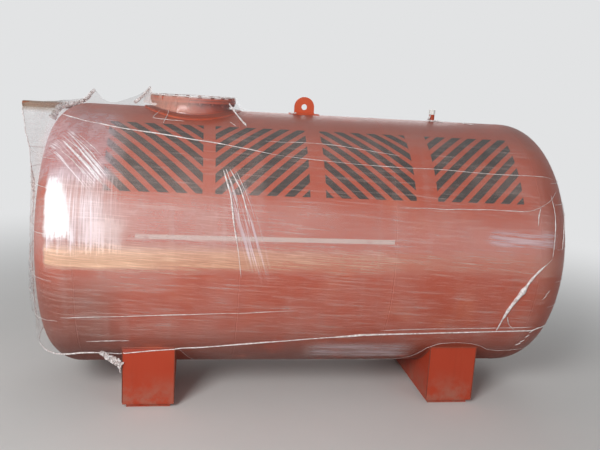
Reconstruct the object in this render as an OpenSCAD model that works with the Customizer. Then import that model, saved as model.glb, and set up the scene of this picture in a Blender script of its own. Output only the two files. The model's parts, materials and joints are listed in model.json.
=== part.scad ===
// Horizontal welded steel tank on two box saddles, wrapped in clear film for transport.
// X runs along the tank, Y from front to back, Z up; the origin is on the floor under
// the middle of the whole piece.

/* [Shell] */
// Outside diameter of the shell
shell_od = 1900; // [1600:1:2200]
// Wall of the shell plates
shell_wall = 6; // [4:0.5:12]
// Length of one shell course
course_len = 1033; // [900:1:1200]
// Space between the floor and the underside of the shell
underside = 150; // [110:1:300]

/* [Heads] */
// Wall of the dished heads
head_wall = 7; // [4:0.5:12]
// Outer radius of the crown of a head
crown_r = 2950; // [2300:10:3600]
// Outer radius of the knuckle of a head
knuckle_r = 240; // [150:1:300]
// Straight rim of a head, before it starts to curve
head_rim = 30; // [15:1:60]

/* [Manway] */
// Distance from the joint of the left and middle courses to the manway's middle
manway_joint = 323.5; // [300:0.5:380]
// Outside diameter of the manway neck
neck_od = 530; // [430:1:560]
// Wall of the manway neck
neck_wall = 6; // [4:0.5:12]
// Height of the flange's upper face above the crown line of the shell
flange_face = 64; // [50:1:120]
// How far the flange face stands above the end of the neck
neck_setback = 5; // [3:0.5:9]
// Width of the flange round the neck
flange_rim = 45; // [41:0.5:60]
// Thickness of the flange
flange_t = 16; // [10:0.5:30]
// Thickness of the gasket
gasket_t = 3; // [2:0.5:6]
// Thickness of the cover
cover_t = 14; // [8:0.5:24]
// Distance from the neck out to the bolt circle
bolt_seat = 27.5; // [25:0.5:30]
// Diameter of the bolt holes
bolt_hole = 18; // [14:0.5:20]
// Number of bolts round the cover
bolt_count = 20; // [8:4:24]
// Width of the reinforcing pad round the neck
pad_width = 80; // [60:1:90]
// Thickness of the reinforcing pad
pad_t = 8; // [4:0.5:12]
// Height of the bolt heads above the cover
bolt_rise = 10; // [6:0.5:16]

/* [Lifting lug] */
// Distance of the lug to the left of the tank's middle
lug_offset = 10; // [0:1:120]
// Radius of the round head of the lug
lug_r = 75; // [60:1:90]
// Thickness of the lug plate
lug_t = 20; // [12:1:30]
// Height of the eye above the crown line
lug_rise = 55; // [50:1:90]
// Diameter of the eye
lug_eye = 44; // [30:1:60]
// Length of the lug's foot pad
foot_len = 220; // [190:1:260]
// Width of the lug's foot pad
foot_width = 90; // [70:1:120]
// Thickness of the lug's foot pad
foot_t = 8; // [5:0.5:12]

/* [Vent] */
// Distance from the joint of the middle and right courses to the vent
vent_joint = 486.5; // [420:0.5:560]
// Outside diameter of the vent pipe
vent_od = 42; // [34:0.5:60]
// Wall of the vent pipe
vent_wall = 3.5; // [2:0.25:6]
// Height of the end of the vent pipe above the crown line
vent_rise = 86; // [60:1:120]
// Outside diameter of the plastic cap
cap_od = 48; // [46:0.5:68]
// Height of the plastic cap
cap_h = 38; // [24:1:50]
// Wall over the end of the pipe, inside the cap
cap_top = 3; // [2:0.5:6]

/* [Gauge pipe] */
// Length of the pipe past the end of the shell
gauge_reach = 495; // [400:1:560]
// Depth of the pipe's middle below the crown line
gauge_drop = 27; // [24:1:60]
// Outside diameter of the pipe
gauge_od = 42; // [34:0.5:50]
// Wall of the pipe
gauge_wall = 3.5; // [2:0.25:6]

/* [Saddles] */
// Distance from each end of the shell to the middle of its saddle
saddle_end = 454.5; // [350:0.5:650]
// Width of a saddle along the tank
saddle_len = 350; // [250:1:400]
// How far the front and the back of a saddle stay inside the sides of the shell
saddle_side = 260; // [220:1:330]
// Thickness of the saddle plates
plate_t = 10; // [6:0.5:16]
// Thickness of the sole plate under the box
sole_t = 30; // [16:1:40]
// How far the sole plate stays inside the box, all round
sole_inset = 25; // [5:1:50]

/* [Film] */
// Thickness of the layers of film, as modelled
film_t = 1.5; // [1:0.1:3]
// Angle below the horizontal where the film ends, front and back
film_edge = 40; // [30:1:41]
// How far the film spreads from the manway flange down to the shell
skirt_spread = 90; // [80:1:120]
// Space that the film leaves open round the lug's pad and the vent
film_slot = 30; // [20:1:60]
// How far the film stands off the middle of the left head
tent_out = 45; // [30:1:80]
// Radius of the flat middle of the film over the left head
tent_flat = 475; // [300:1:560]

/* [Hidden] */
fit = 0.2;           // gap at every round seat and round hole
film_gap = 0.4;      // gap between the film and the steel
over = 40;           // how far a cutter runs past what it cuts
eps = 0.01;

shell_r = shell_od / 2;
axis_height = underside + shell_r;
saddle_depth = shell_od - 2 * saddle_side;
half_len = 1.5 * course_len;
manway_offset = course_len / 2 + manway_joint;
vent_offset = course_len / 2 + vent_joint;
saddle_offset = half_len - saddle_end;
flange_od = neck_od + 2 * flange_rim;
bolt_circle = neck_od + 2 * bolt_seat;
crown_z = axis_height + shell_r;
head_zc = head_rim - sqrt(pow(crown_r - knuckle_r, 2) - pow(shell_r - knuckle_r, 2));
head_depth = head_zc + crown_r;
turn = asin((shell_r - knuckle_r) / (crown_r - knuckle_r));
gauge_tip = half_len + gauge_reach;
left_reach = max(gauge_tip + film_gap + film_t, half_len + head_depth + tent_out);
right_reach = half_len + head_depth + film_gap + film_t;
frame_dx = (left_reach - right_reach) / 2;

flange_z = crown_z + flange_face;
cover_z = flange_z + gasket_t + cover_t;
film_r = shell_r + film_gap;
film_low = axis_height - shell_r * sin(film_edge);
box_low = sole_t + plate_t;
saddle_top = axis_height - sqrt(pow(shell_r, 2) - pow(saddle_depth / 2, 2));
steel = [0.80, 0.36, 0.22];
saddle_red = [0.70, 0.28, 0.18];
bright = [0.95, 0.38, 0.14];
plastic = [0.93, 0.93, 0.90];
clear = [0.90, 0.92, 0.95, 0.35];
dark = [0.15, 0.15, 0.16];

// Moves a piece from the tank's own middle to the frame of the whole
module at_tank() { translate([frame_dx, 0, 0]) children(); }

// Lies its children along X, on the tank's axis, with their Z pointing to side
module along_axis(side) {
    translate([0, 0, axis_height]) rotate([0, side * 90, 0]) children();
}

// Solid round bar on the tank's axis from x = a to x = b
module axis_bar(r, a, b) {
    along_axis(1) translate([0, 0, a]) cylinder(r = r, h = b - a, $fn = 180);
}

// Half outline of a dished head: straight rim, knuckle arc and crown arc, inset by t
module head_outline(t) {
    arm = crown_r - knuckle_r;
    past = crown_r + over;
    square([shell_r - t, head_rim]);
    intersection() {
        translate([shell_r - knuckle_r, head_rim]) circle(r = knuckle_r - t, $fn = 120);
        translate([shell_r - knuckle_r, head_rim]) square(knuckle_r + over);
    }
    intersection() {
        translate([0, head_zc]) circle(r = crown_r - t, $fn = 720);
        polygon([
            [0, 0], [shell_r - knuckle_r, 0], [arm * sin(turn), head_zc + arm * cos(turn)],
            [past * sin(turn), head_zc + past * cos(turn)], [0, head_zc + past]
        ]);
    }
}

// Dished head, open towards the shell, its mouth at the end of the shell
module dished_head(side) {
    along_axis(side) translate([0, 0, half_len])
        rotate_extrude($fn = 180) difference() {
            head_outline(0);
            head_outline(head_wall);
            translate([-over, -over]) square([over, head_depth + 2 * over]);
        }
}

// One course of the shell between x = a and x = b
module course(a, b) {
    difference() {
        axis_bar(shell_r, a, b);
        axis_bar(shell_r - shell_wall, a - over, b + over);
    }
}

module shell_course_left() {
    color(steel) difference() {
        course(-half_len, -half_len + course_len);
        translate([-manway_offset, 0, axis_height]) cylinder(d = neck_od + 2 * fit, h = shell_od, $fn = 120);
    }
}

module shell_course_middle() {
    color(steel) course(-half_len + course_len, half_len - course_len);
}

module shell_course_right() {
    color(steel) difference() {
        course(half_len - course_len, half_len);
        translate([vent_offset, 0, axis_height]) cylinder(d = vent_od + 2 * fit, h = shell_od, $fn = 60);
    }
}

module left_head() {
    color(steel) difference() {
        dished_head(-1);
        translate([-half_len - gauge_reach, 0, crown_z - gauge_drop])
            rotate([0, 90, 0]) cylinder(d = gauge_od + 2 * fit, h = gauge_reach, $fn = 60);
    }
}

module right_head() {
    color(steel) dished_head(1);
}

module manway_pad() {
    color(steel) difference() {
        translate([-manway_offset, 0, axis_height])
            cylinder(d = neck_od + 2 * pad_width, h = shell_od, $fn = 120);
        translate([-manway_offset, 0, axis_height])
            cylinder(d = neck_od + 2 * fit, h = shell_od + over, $fn = 120);
        axis_bar(shell_r + fit, -half_len, 0);
        difference() {
            axis_bar(shell_od + over, -half_len, 0);
            axis_bar(shell_r + fit + pad_t, -half_len - over, over);
        }
    }
}

module manway_neck() {
    color(steel) difference() {
        translate([-manway_offset, 0, axis_height])
            cylinder(d = neck_od, h = flange_z - neck_setback - axis_height, $fn = 120);
        translate([-manway_offset, 0, axis_height - over])
            cylinder(d = neck_od - 2 * neck_wall, h = shell_od, $fn = 120);
        axis_bar(shell_r - shell_wall - 2 * neck_wall, -half_len, 0);
    }
}

// Ring or disc of the manway, from z up, with its bolt holes
module manway_plate(z, t, bore) {
    translate([-manway_offset, 0, z]) difference() {
        cylinder(d = flange_od, h = t, $fn = 120);
        if (bore > 0) translate([0, 0, -over]) cylinder(d = bore, h = t + 2 * over, $fn = 120);
        for (i = [0 : bolt_count - 1])
            rotate([0, 0, (i + 0.5) * 360 / bolt_count]) translate([bolt_circle / 2, 0, -over])
                cylinder(d = bolt_hole, h = t + 2 * over, $fn = 36);
    }
}

module manway_flange() {
    color(steel) manway_plate(flange_z - flange_t, flange_t, neck_od + 2 * fit);
}

module manway_gasket() {
    color(dark) manway_plate(flange_z, gasket_t, neck_od);
}

module manway_cover() {
    color(steel) manway_plate(flange_z + gasket_t, cover_t, 0);
}

module lug_foot_pad() {
    color(steel) difference() {
        translate([-lug_offset - foot_len / 2, -foot_width / 2, axis_height])
            cube([foot_len, foot_width, shell_od]);
        axis_bar(shell_r + fit, -half_len, half_len);
        difference() {
            axis_bar(shell_od + over, -half_len, half_len);
            axis_bar(shell_r + fit + foot_t, -half_len - over, half_len + over);
        }
    }
}

module lifting_lug() {
    foot_z = crown_z + fit + foot_t;
    color(bright) translate([-lug_offset, lug_t / 2, 0]) rotate([90, 0, 0]) difference() {
        union() {
            translate([0, crown_z + lug_rise]) cylinder(r = lug_r, h = lug_t, $fn = 90);
            translate([-lug_r, foot_z]) cube([2 * lug_r, crown_z + lug_rise - foot_z, lug_t]);
        }
        translate([0, crown_z + lug_rise, -over]) cylinder(d = lug_eye, h = lug_t + 2 * over, $fn = 60);
        translate([-lug_r, foot_z - lug_r, -over]) cube([2 * lug_r, lug_r, lug_t + 2 * over]);
    }
}

module vent_pipe() {
    color(steel) difference() {
        translate([vent_offset, 0, axis_height])
            cylinder(d = vent_od, h = shell_r + vent_rise, $fn = 60);
        translate([vent_offset, 0, axis_height - over])
            cylinder(d = vent_od - 2 * vent_wall, h = shell_od, $fn = 60);
        axis_bar(shell_r - shell_wall - 2 * vent_wall, 0, half_len);
    }
}

module vent_cap() {
    top = crown_z + vent_rise + cap_top;
    color(plastic) translate([vent_offset, 0, top - cap_h]) difference() {
        cylinder(d = cap_od, h = cap_h, $fn = 60);
        translate([0, 0, -over]) cylinder(d = vent_od + 2 * fit, h = cap_h - cap_top + over, $fn = 60);
    }
}

// Upper connection of the level gauge: a pipe through the knuckle of the left head
module gauge_pipe() {
    start = half_len + head_rim;
    color(steel) translate([-gauge_tip, 0, crown_z - gauge_drop]) rotate([0, 90, 0]) difference() {
        cylinder(d = gauge_od, h = gauge_tip - start, $fn = 60);
        translate([0, 0, -over])
            cylinder(d = gauge_od - 2 * gauge_wall, h = gauge_tip - start + 2 * over, $fn = 60);
    }
}

// Box of one saddle without the space that the shell takes
module saddle_cut(x) {
    difference() {
        children();
        axis_bar(shell_r + fit, x - saddle_len, x + saddle_len);
    }
}

module sole(x) {
    translate([x - saddle_len / 2 + sole_inset, -saddle_depth / 2 + sole_inset, 0])
        cube([saddle_len - 2 * sole_inset, saddle_depth - 2 * sole_inset, sole_t]);
}

// Bottom plate of the box, over its whole footprint
module base(x) {
    translate([x - saddle_len / 2, -saddle_depth / 2, sole_t]) cube([saddle_len, saddle_depth, plate_t]);
}

// Upright plate across the front or the back of a saddle
module end_plate(x, side) {
    saddle_cut(x) translate([x - saddle_len / 2, side * (saddle_depth - plate_t) / 2 - plate_t / 2, box_low])
        cube([saddle_len, plate_t, axis_height - box_low]);
}

// Upright web from front to back, its upper edge cut to the shell
module web(x, side) {
    saddle_cut(x) translate([x + side * (saddle_len - plate_t) / 2 - plate_t / 2,
                             -saddle_depth / 2 + plate_t, box_low])
        cube([plate_t, saddle_depth - 2 * plate_t, saddle_top - box_low + plate_t]);
}

module left_saddle_sole() { color(saddle_red) sole(-saddle_offset); }
module left_saddle_base() { color(saddle_red) base(-saddle_offset); }
module left_saddle_front() { color(saddle_red) end_plate(-saddle_offset, -1); }
module left_saddle_back() { color(saddle_red) end_plate(-saddle_offset, 1); }
module left_saddle_outer_web() { color(saddle_red) web(-saddle_offset, -1); }
module left_saddle_inner_web() { color(saddle_red) web(-saddle_offset, 1); }
module right_saddle_sole() { color(saddle_red) sole(saddle_offset); }
module right_saddle_base() { color(saddle_red) base(saddle_offset); }
module right_saddle_front() { color(saddle_red) end_plate(saddle_offset, -1); }
module right_saddle_back() { color(saddle_red) end_plate(saddle_offset, 1); }
module right_saddle_outer_web() { color(saddle_red) web(saddle_offset, 1); }
module right_saddle_inner_web() { color(saddle_red) web(saddle_offset, -1); }

// Space under the lower edges of the film, along the whole tank
module below_film_edge() {
    reach = half_len + gauge_reach + head_depth;
    translate([-reach, -shell_od, 0]) cube([2 * reach, 2 * shell_od, film_low]);
}

module film_over_shell() {
    color(clear) difference() {
        axis_bar(film_r + film_t, -half_len, half_len);
        axis_bar(film_r, -half_len - over, half_len + over);
        below_film_edge();
        skirt_form(film_t + film_gap);
        translate([-lug_offset, 0, axis_height])
            cylinder(r = foot_len / 2 + film_slot, h = shell_od, $fn = 60);
        translate([vent_offset, 0, axis_height])
            cylinder(r = vent_od / 2 + film_slot, h = shell_od, $fn = 60);
    }
}

module film_over_right_head() {
    color(clear) difference() {
        along_axis(1) translate([0, 0, half_len]) rotate_extrude($fn = 180) difference() {
            head_outline(-film_gap - film_t);
            head_outline(-film_gap);
            translate([-over, -over]) square([over, head_depth + 2 * over]);
        }
        below_film_edge();
    }
}

// Left head grown by t, with the film's flat middle and the gauge pipe, in one taut form
module tent_form(t) {
    step = 15;
    sides = 72;
    swell = (knuckle_r + t) / cos(step / 2);
    hull() {
        along_axis(-1) translate([0, 0, half_len])
            cylinder(r = (shell_r - knuckle_r + swell) / cos(180 / sides), h = head_rim, $fn = sides);
        for (a = [step : step : 90 - step])
            along_axis(-1) translate([0, 0, half_len + head_rim + swell * sin(a)])
                cylinder(r = (shell_r - knuckle_r + swell * cos(a)) / cos(180 / sides), h = eps, $fn = sides);
        along_axis(-1) translate([0, 0, half_len + head_depth])
            cylinder(r = tent_flat, h = tent_out - film_t + t, $fn = sides);
        translate([-gauge_tip - t, -gauge_od / 2 - t, crown_z - gauge_drop - gauge_od / 2 - t])
            cube([gauge_reach - head_rim, gauge_od + 2 * t, gauge_od + 2 * t]);
    }
}

module film_tent_left() {
    color(clear) difference() {
        tent_form(film_gap + film_t);
        tent_form(film_gap);
        translate([-half_len + eps, -shell_od, 0]) cube([over, 2 * shell_od, 2 * crown_z]);
        below_film_edge();
    }
}

// Solid under the film of the manway, grown by t: flat over the bolts, then a cone
module skirt_form(t) {
    top = cover_z + bolt_rise + film_gap + t;
    rim = flange_od / 2 + film_gap + t;
    seat = axis_height + sqrt(pow(shell_r, 2) - pow(flange_od / 2 + skirt_spread, 2));
    slope = skirt_spread / (top - seat);
    translate([-manway_offset, 0, 0]) rotate_extrude($fn = 120) polygon([
        [0, seat - over], [0, top], [rim, top], [rim + slope * (top - seat + over), seat - over]
    ]);
}

module film_over_manway() {
    color(clear) difference() {
        skirt_form(film_t);
        skirt_form(0);
        axis_bar(film_r, -half_len, 0);
    }
}

at_tank() shell_course_left();
at_tank() shell_course_middle();
at_tank() shell_course_right();
at_tank() left_head();
at_tank() right_head();
at_tank() manway_pad();
at_tank() manway_neck();
at_tank() manway_flange();
at_tank() manway_gasket();
at_tank() manway_cover();
at_tank() lug_foot_pad();
at_tank() lifting_lug();
at_tank() vent_pipe();
at_tank() vent_cap();
at_tank() gauge_pipe();
at_tank() left_saddle_sole();
at_tank() left_saddle_base();
at_tank() left_saddle_front();
at_tank() left_saddle_back();
at_tank() left_saddle_outer_web();
at_tank() left_saddle_inner_web();
at_tank() right_saddle_sole();
at_tank() right_saddle_base();
at_tank() right_saddle_front();
at_tank() right_saddle_back();
at_tank() right_saddle_outer_web();
at_tank() right_saddle_inner_web();
at_tank() film_over_shell();
at_tank() film_over_right_head();
at_tank() film_tent_left();
at_tank() film_over_manway();
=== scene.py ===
# Horizontal steel tank on two box saddles, wrapped in clear film.
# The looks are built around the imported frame, in metres, with the floor at z = 0.
import json
import math

import bmesh
import bpy
import numpy as np
from mathutils import Matrix, Vector
from mathutils.bvhtree import BVHTree


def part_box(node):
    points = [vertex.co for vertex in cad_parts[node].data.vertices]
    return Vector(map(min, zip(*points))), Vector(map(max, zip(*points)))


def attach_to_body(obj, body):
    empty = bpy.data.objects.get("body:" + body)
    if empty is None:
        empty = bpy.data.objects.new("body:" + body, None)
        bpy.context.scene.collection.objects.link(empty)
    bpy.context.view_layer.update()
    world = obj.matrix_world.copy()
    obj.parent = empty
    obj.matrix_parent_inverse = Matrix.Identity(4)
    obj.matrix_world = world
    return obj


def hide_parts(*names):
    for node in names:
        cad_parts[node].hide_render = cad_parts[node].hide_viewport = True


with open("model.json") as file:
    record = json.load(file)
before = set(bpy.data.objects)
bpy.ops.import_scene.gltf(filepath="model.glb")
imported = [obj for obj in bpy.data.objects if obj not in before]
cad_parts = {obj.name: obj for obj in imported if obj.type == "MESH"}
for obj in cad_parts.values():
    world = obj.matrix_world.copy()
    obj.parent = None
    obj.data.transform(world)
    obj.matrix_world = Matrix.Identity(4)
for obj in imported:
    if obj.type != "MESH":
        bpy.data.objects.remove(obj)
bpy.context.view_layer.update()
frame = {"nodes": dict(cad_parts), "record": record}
nodes = frame["nodes"]


# Sizes of the tank, taken from its solids
def readTank():
    low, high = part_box("shell_course_left")
    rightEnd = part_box("shell_course_right")[1].x
    flangeLow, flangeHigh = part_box("manway_flange")
    return {
        "middle": (low.x + rightEnd) / 2,
        "axis": (low.z + high.z) / 2,
        "radius": (high.z - low.z) / 2,
        "half": (rightEnd - low.x) / 2,
        "crown": high.z,
        "manwayX": (flangeLow.x + flangeHigh.x) / 2,
        "flangeRadius": (flangeHigh.x - flangeLow.x) / 2,
    }


tank = readTank()
headShape = {"rim": 0.03, "knuckle": 0.24, "crown": 2.95}  # a head's straight rim and its outer radii
body = "root"


# Numbers that colours are written in: 0 to 255 as on a screen
def tint(red, green, blue):
    def plain(value):
        part = value / 255
        return part / 12.92 if part < 0.04045 else ((part + 0.055) / 1.055) ** 2.4
    return (plain(red), plain(green), plain(blue), 1.0)


# A socket that works in Python sums; each sum adds a Math node
class Wire:
    def __init__(self, book, socket):
        self.book = book
        self.socket = socket

    def calc(self, operation, *others):
        return self.book.add("ShaderNodeMath", {"operation": operation}, dict(enumerate((self, *others))))

    def turned(self, operation, other):
        return self.book.add("ShaderNodeMath", {"operation": operation}, {0: other, 1: self})

    def __add__(self, other):
        return self.calc("ADD", other)

    def __radd__(self, other):
        return self.turned("ADD", other)

    def __sub__(self, other):
        return self.calc("SUBTRACT", other)

    def __rsub__(self, other):
        return self.turned("SUBTRACT", other)

    def __mul__(self, other):
        return self.calc("MULTIPLY", other)

    def __rmul__(self, other):
        return self.turned("MULTIPLY", other)

    def __truediv__(self, other):
        return self.calc("DIVIDE", other)

    def out(self, name):
        return Wire(self.book, self.socket.node.outputs[name])

    def rise(self, low, high, kind="SMOOTHSTEP"):  # 0 below low, 1 above high
        if low > high:
            return 1 - self.rise(high, low, kind)
        return self.book.add("ShaderNodeMapRange", {"interpolation_type": kind},
                             {"Value": self, "From Min": low, "From Max": high})

    def band(self, low, high, soft):  # 1 between low and high, with soft edges
        return self.rise(low - soft, low + soft) * self.rise(high + soft, high - soft)


# Adds nodes to one tree: the settings first, then the values or links of the sockets
class Book:
    def __init__(self, tree):
        self.tree = tree

    def add(self, kind, settings=None, sockets=None, out=0):
        node = self.tree.nodes.new(kind)
        for name, value in (settings or {}).items():
            setattr(node, name, value)
        for key, value in (sockets or {}).items():
            if isinstance(value, Wire):
                self.tree.links.new(value.socket, node.inputs[key])
            else:
                node.inputs[key].default_value = value
        return Wire(self, node.outputs[out]) if len(node.outputs) else node

    def blend(self, first, second, factor):
        return self.add("ShaderNodeMix", {"data_type": "RGBA"}, {0: factor, 6: first, 7: second}, out=2)

    def noise(self, place, scale, detail=3.0, rough=0.5, twist=0.0):
        return self.add("ShaderNodeTexNoise", None, {"Vector": place, "Scale": scale, "Detail": detail,
                                                     "Roughness": rough, "Distortion": twist})

    def stretch(self, place, x, y, z):
        return self.add("ShaderNodeVectorMath", {"operation": "MULTIPLY"}, {0: place, 1: (x, y, z)})

    def vector(self, x, y, z):
        return self.add("ShaderNodeCombineXYZ", None, {"X": x, "Y": y, "Z": z})

    def bump(self, height, strength, distance):
        return self.add("ShaderNodeBump", None,
                        {"Strength": strength, "Distance": distance, "Height": height})

    def surface(self, colour, rough, normal, **more):
        return self.add("ShaderNodeBsdfPrincipled", None,
                        {"Base Color": colour, "Roughness": rough, "Normal": normal, **more})

    def mixShader(self, factor, first, second):
        return self.add("ShaderNodeMixShader", None, {0: factor, 1: first, 2: second})

    # 1 for the camera, for what mirrors and for what is seen through the film
    def seenDirectly(self):
        path = self.add("ShaderNodeLightPath")
        seen = path.out("Is Camera Ray").calc("MAXIMUM", path.out("Is Glossy Ray"))
        return seen.calc("MAXIMUM", path.out("Is Transmission Ray"))


def newMaterial(name):
    material = bpy.data.materials.new(name)
    material.use_nodes = True
    material.node_tree.nodes.clear()
    return material, Book(material.node_tree)


def finishMaterial(material, book, shader):
    book.add("ShaderNodeOutputMaterial", None, {"Surface": shader})
    return material


# Places on the tank for a material: metres along it, and metres round it from its widest line, on either side
def tankPlaces(book):
    place = book.add("ShaderNodeTexCoord").out("Object")
    split = book.add("ShaderNodeSeparateXYZ", None, {0: place})
    along = split.out("X") - tank["middle"]
    up = split.out("Z") - tank["axis"]
    girth = up.calc("ARCTAN2", split.out("Y").calc("ABSOLUTE")) * tank["radius"]
    return place, along, girth, split


# Wear and painted shade that every painted plate shares: faded clouds, runs and dust, and painted shade low
# down, at the ends and on faces that look up
wear = {
    "dust": tint(150, 128, 112),
    # painted shade: the paint darker low down
    "underShade": tint(92, 54, 44),
    "underShadeDeep": 0.40,  # from its upper edge down to where it is full
    "underShadeAmount": 0.70,
    # painted shade: darker at the lower left end and at the right end
    "endShade": tint(104, 58, 46),
    "endShadeLeft": (-1.15, -1.45),  # along the tank, with the next pair below the axis
    "endShadeUnder": (0.02, -0.28),
    "endShadeRight": (1.46, 1.64),
    "endShadeLeftAmount": 0.52,
    "endShadeRightAmount": 0.42,
    # painted shade: darker on faces that look up
    "topShade": tint(112, 76, 66),
    "topShadeFacing": (0.74, 0.98),  # how far up a face looks
    "fleckAmount": 0.25,
    "gloss": 0.3,
    "bumpDeep": 0.0012,
}


def paintedSteel(name, colour, settings):
    material, book = newMaterial(name)
    place, along, girth, split = tankPlaces(book)
    height = split.out("Z")
    broad = book.noise(place, settings["cloudScale"], 4.0, 0.55)
    fine = book.noise(place, 38.0, 5.0, 0.6)
    runs = book.noise(book.stretch(place, 26.0, 26.0, 2.2), 1.0, 3.0, 0.55)
    peel = book.noise(place, 260.0, 2.0, 0.5)
    dark = tuple(c * settings["darker"] for c in colour[:3]) + (1.0,)
    paint = book.blend(colour, settings["faded"], broad.rise(0.52, 0.78) * settings["fade"])
    paint = book.blend(paint, dark, runs.rise(0.5, 0.8) * settings["runs"])
    paint = book.blend(paint, dark, fine.rise(0.62, 0.75) * wear["fleckAmount"])
    dusty = height.rise(settings["dustTop"], 0.0) * book.noise(place, 11.0, 4.0, 0.6).rise(0.3, 0.7)
    paint = book.blend(paint, wear["dust"], dusty * settings["dust"])
    # Painted shade: darker towards the bottom
    underShade = height.rise(settings["underShadeTop"], settings["underShadeTop"] - wear["underShadeDeep"])
    underShade = underShade * book.noise(place, 5.0, 4.0, 0.6).rise(0.2, 0.5)
    paint = book.blend(paint, wear["underShade"], underShade * wear["underShadeAmount"])
    # Painted shade at the lower left end and at the right end
    under = (height - tank["axis"]).rise(*wear["endShadeUnder"])
    endShade = along.rise(*wear["endShadeLeft"]) * under * wear["endShadeLeftAmount"]
    endShade = endShade + along.rise(*wear["endShadeRight"]) * wear["endShadeRightAmount"]
    paint = book.blend(paint, wear["endShade"], endShade * settings["endShade"])
    # Painted shade: darker on faces that look up
    facing = book.add("ShaderNodeNewGeometry").out("Normal")
    facing = book.add("ShaderNodeSeparateXYZ", None, {0: facing}).out("Z")
    topShade = facing.rise(*wear["topShadeFacing"]) * book.noise(place, 3.4, 5.0, 0.6).rise(0.15, 0.55)
    paint = book.blend(paint, wear["topShade"], topShade * settings["topShade"])
    if "marks" in settings:
        paint = settings["marks"](book, paint, along, girth, place)
    rough = settings["rough"] + (fine - 0.5) * 0.22 + dusty * 0.25
    normal = book.bump(runs + peel * 0.35 + broad, settings["bump"], wear["bumpDeep"])
    shader = book.surface(paint, rough, normal, **{"Specular IOR Level": wear["gloss"]})
    return finishMaterial(material, book, shader)


# Painted panels of slanted bars on the front of the shell, and a thin line under them
panels = {
    "centres": (-1.075, -0.375, 0.35, 1.12),  # along the tank
    "width": 0.62,
    "low": 0.465,  # round the shell, from the front
    "high": 1.06,
    "bar": 0.118,  # one bar and one gap
    "paint": tint(17, 25, 23),
    "gapShare": (0.21, 0.79),  # the bar's place in one bar and one gap
    "edge": 0.003,  # softness of every edge
    "lineLow": 0.165,
    "lineHigh": 0.195,
    "lineEnds": (-1.175, 0.503),
    "linePaint": tint(214, 208, 202),
}


def shellMarks(book, paint, along, girth, place):
    uneven = girth + (book.noise(place, 55.0, 3.0, 0.6) - 0.5) * 0.006
    edge = panels["edge"]
    inside = None
    for number, centre in enumerate(panels["centres"]):
        lean = 1 if number % 2 == 0 else -1
        across = along - centre
        box = across.band(-panels["width"] / 2, panels["width"] / 2, edge)
        slant = ((across * lean + uneven) / panels["bar"]).calc("FRACT")
        panel = box * slant.band(*panels["gapShare"], 0.03)
        inside = panel if inside is None else inside.calc("MAXIMUM", panel)
    inside = inside * uneven.band(panels["low"], panels["high"], edge)
    worn = book.noise(place, 7.0, 6.0, 0.7).rise(0.72, 0.55)
    paint = book.blend(paint, panels["paint"], inside * (0.88 + worn * 0.11))
    line = uneven.band(panels["lineLow"], panels["lineHigh"], edge) * along.band(*panels["lineEnds"], edge)
    return book.blend(paint, panels["linePaint"], line * (0.42 + worn * 0.3))


# Some of these set painted shade: low down, at the ends and on faces that look up
plain = {"cloudScale": 3.2, "darker": 0.72, "faded": tint(206, 112, 78), "fade": 0.45, "runs": 0.35,
         "dustTop": 0.5, "dust": 0.2, "underShadeTop": 0.72, "endShade": 1.0, "topShade": 0.45, "rough": 0.5,
         "bump": 0.35}
tankPaint = paintedSteel("tankPaint", tint(184, 76, 48), {**plain, "marks": shellMarks})
headPaint = paintedSteel("headPaint", tint(184, 76, 48), plain)
saddlePaint = paintedSteel("saddlePaint", tint(176, 62, 36),
                           {**plain, "faded": tint(180, 74, 46), "dust": 0.5, "dustTop": 0.30,
                            "underShadeTop": 0.0, "endShade": 0.0, "runs": 0.28})
weldPaint = paintedSteel("weldPaint", tint(188, 80, 52), {**plain, "bump": 0.3, "marks": shellMarks})
pipePaint = paintedSteel("pipePaint", tint(148, 92, 66),
                         {**plain, "faded": tint(168, 128, 98), "fade": 0.7})
boltPaint = paintedSteel("boltPaint", tint(142, 64, 46),
                         {**plain, "cloudScale": 30.0, "topShade": 0.2, "rough": 0.46})
lugPaint = paintedSteel("lugPaint", tint(205, 86, 52),
                        {**plain, "faded": tint(236, 104, 50), "darker": 0.75, "fade": 0.3,
                         "topShade": 0.15, "rough": 0.4})


def gasketRubber():
    material, book = newMaterial("gasketRubber")
    place = book.add("ShaderNodeTexCoord").out("Object")
    grain = book.noise(place, 140.0, 4.0, 0.6)
    colour = book.blend(tint(34, 34, 36), tint(62, 60, 58), grain)
    shader = book.surface(colour, 0.62 + grain * 0.2, book.bump(grain, 0.3, 0.0005))
    return finishMaterial(material, book, shader)


def capPlastic():
    material, book = newMaterial("capPlastic")
    place = book.add("ShaderNodeTexCoord").out("Object")
    cloud = book.noise(place, 45.0, 3.0, 0.5)
    colour = book.blend(tint(240, 242, 238), tint(214, 214, 204), cloud.rise(0.5, 0.8))
    shader = book.surface(colour, 0.28 + cloud * 0.12, book.bump(cloud, 0.1, 0.0004))
    return finishMaterial(material, book, shader)


finishes = {
    "tank_paint": tankPaint,
    "saddle_paint": saddlePaint,
    "lug_paint": lugPaint,
    "gasket_rubber": gasketRubber(),
    "cap_plastic": capPlastic(),
    "wrap_film": headPaint,
}


def dressNodes():
    for part in frame["record"]["subparts"]:
        finish = finishes[part["material_slot"]]
        mesh = nodes[part["node"]].data
        mesh.materials.clear()
        mesh.materials.append(pipePaint if part["node"] == "gauge_pipe" else finish)


dressNodes()
print("nodes dressed")


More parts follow.
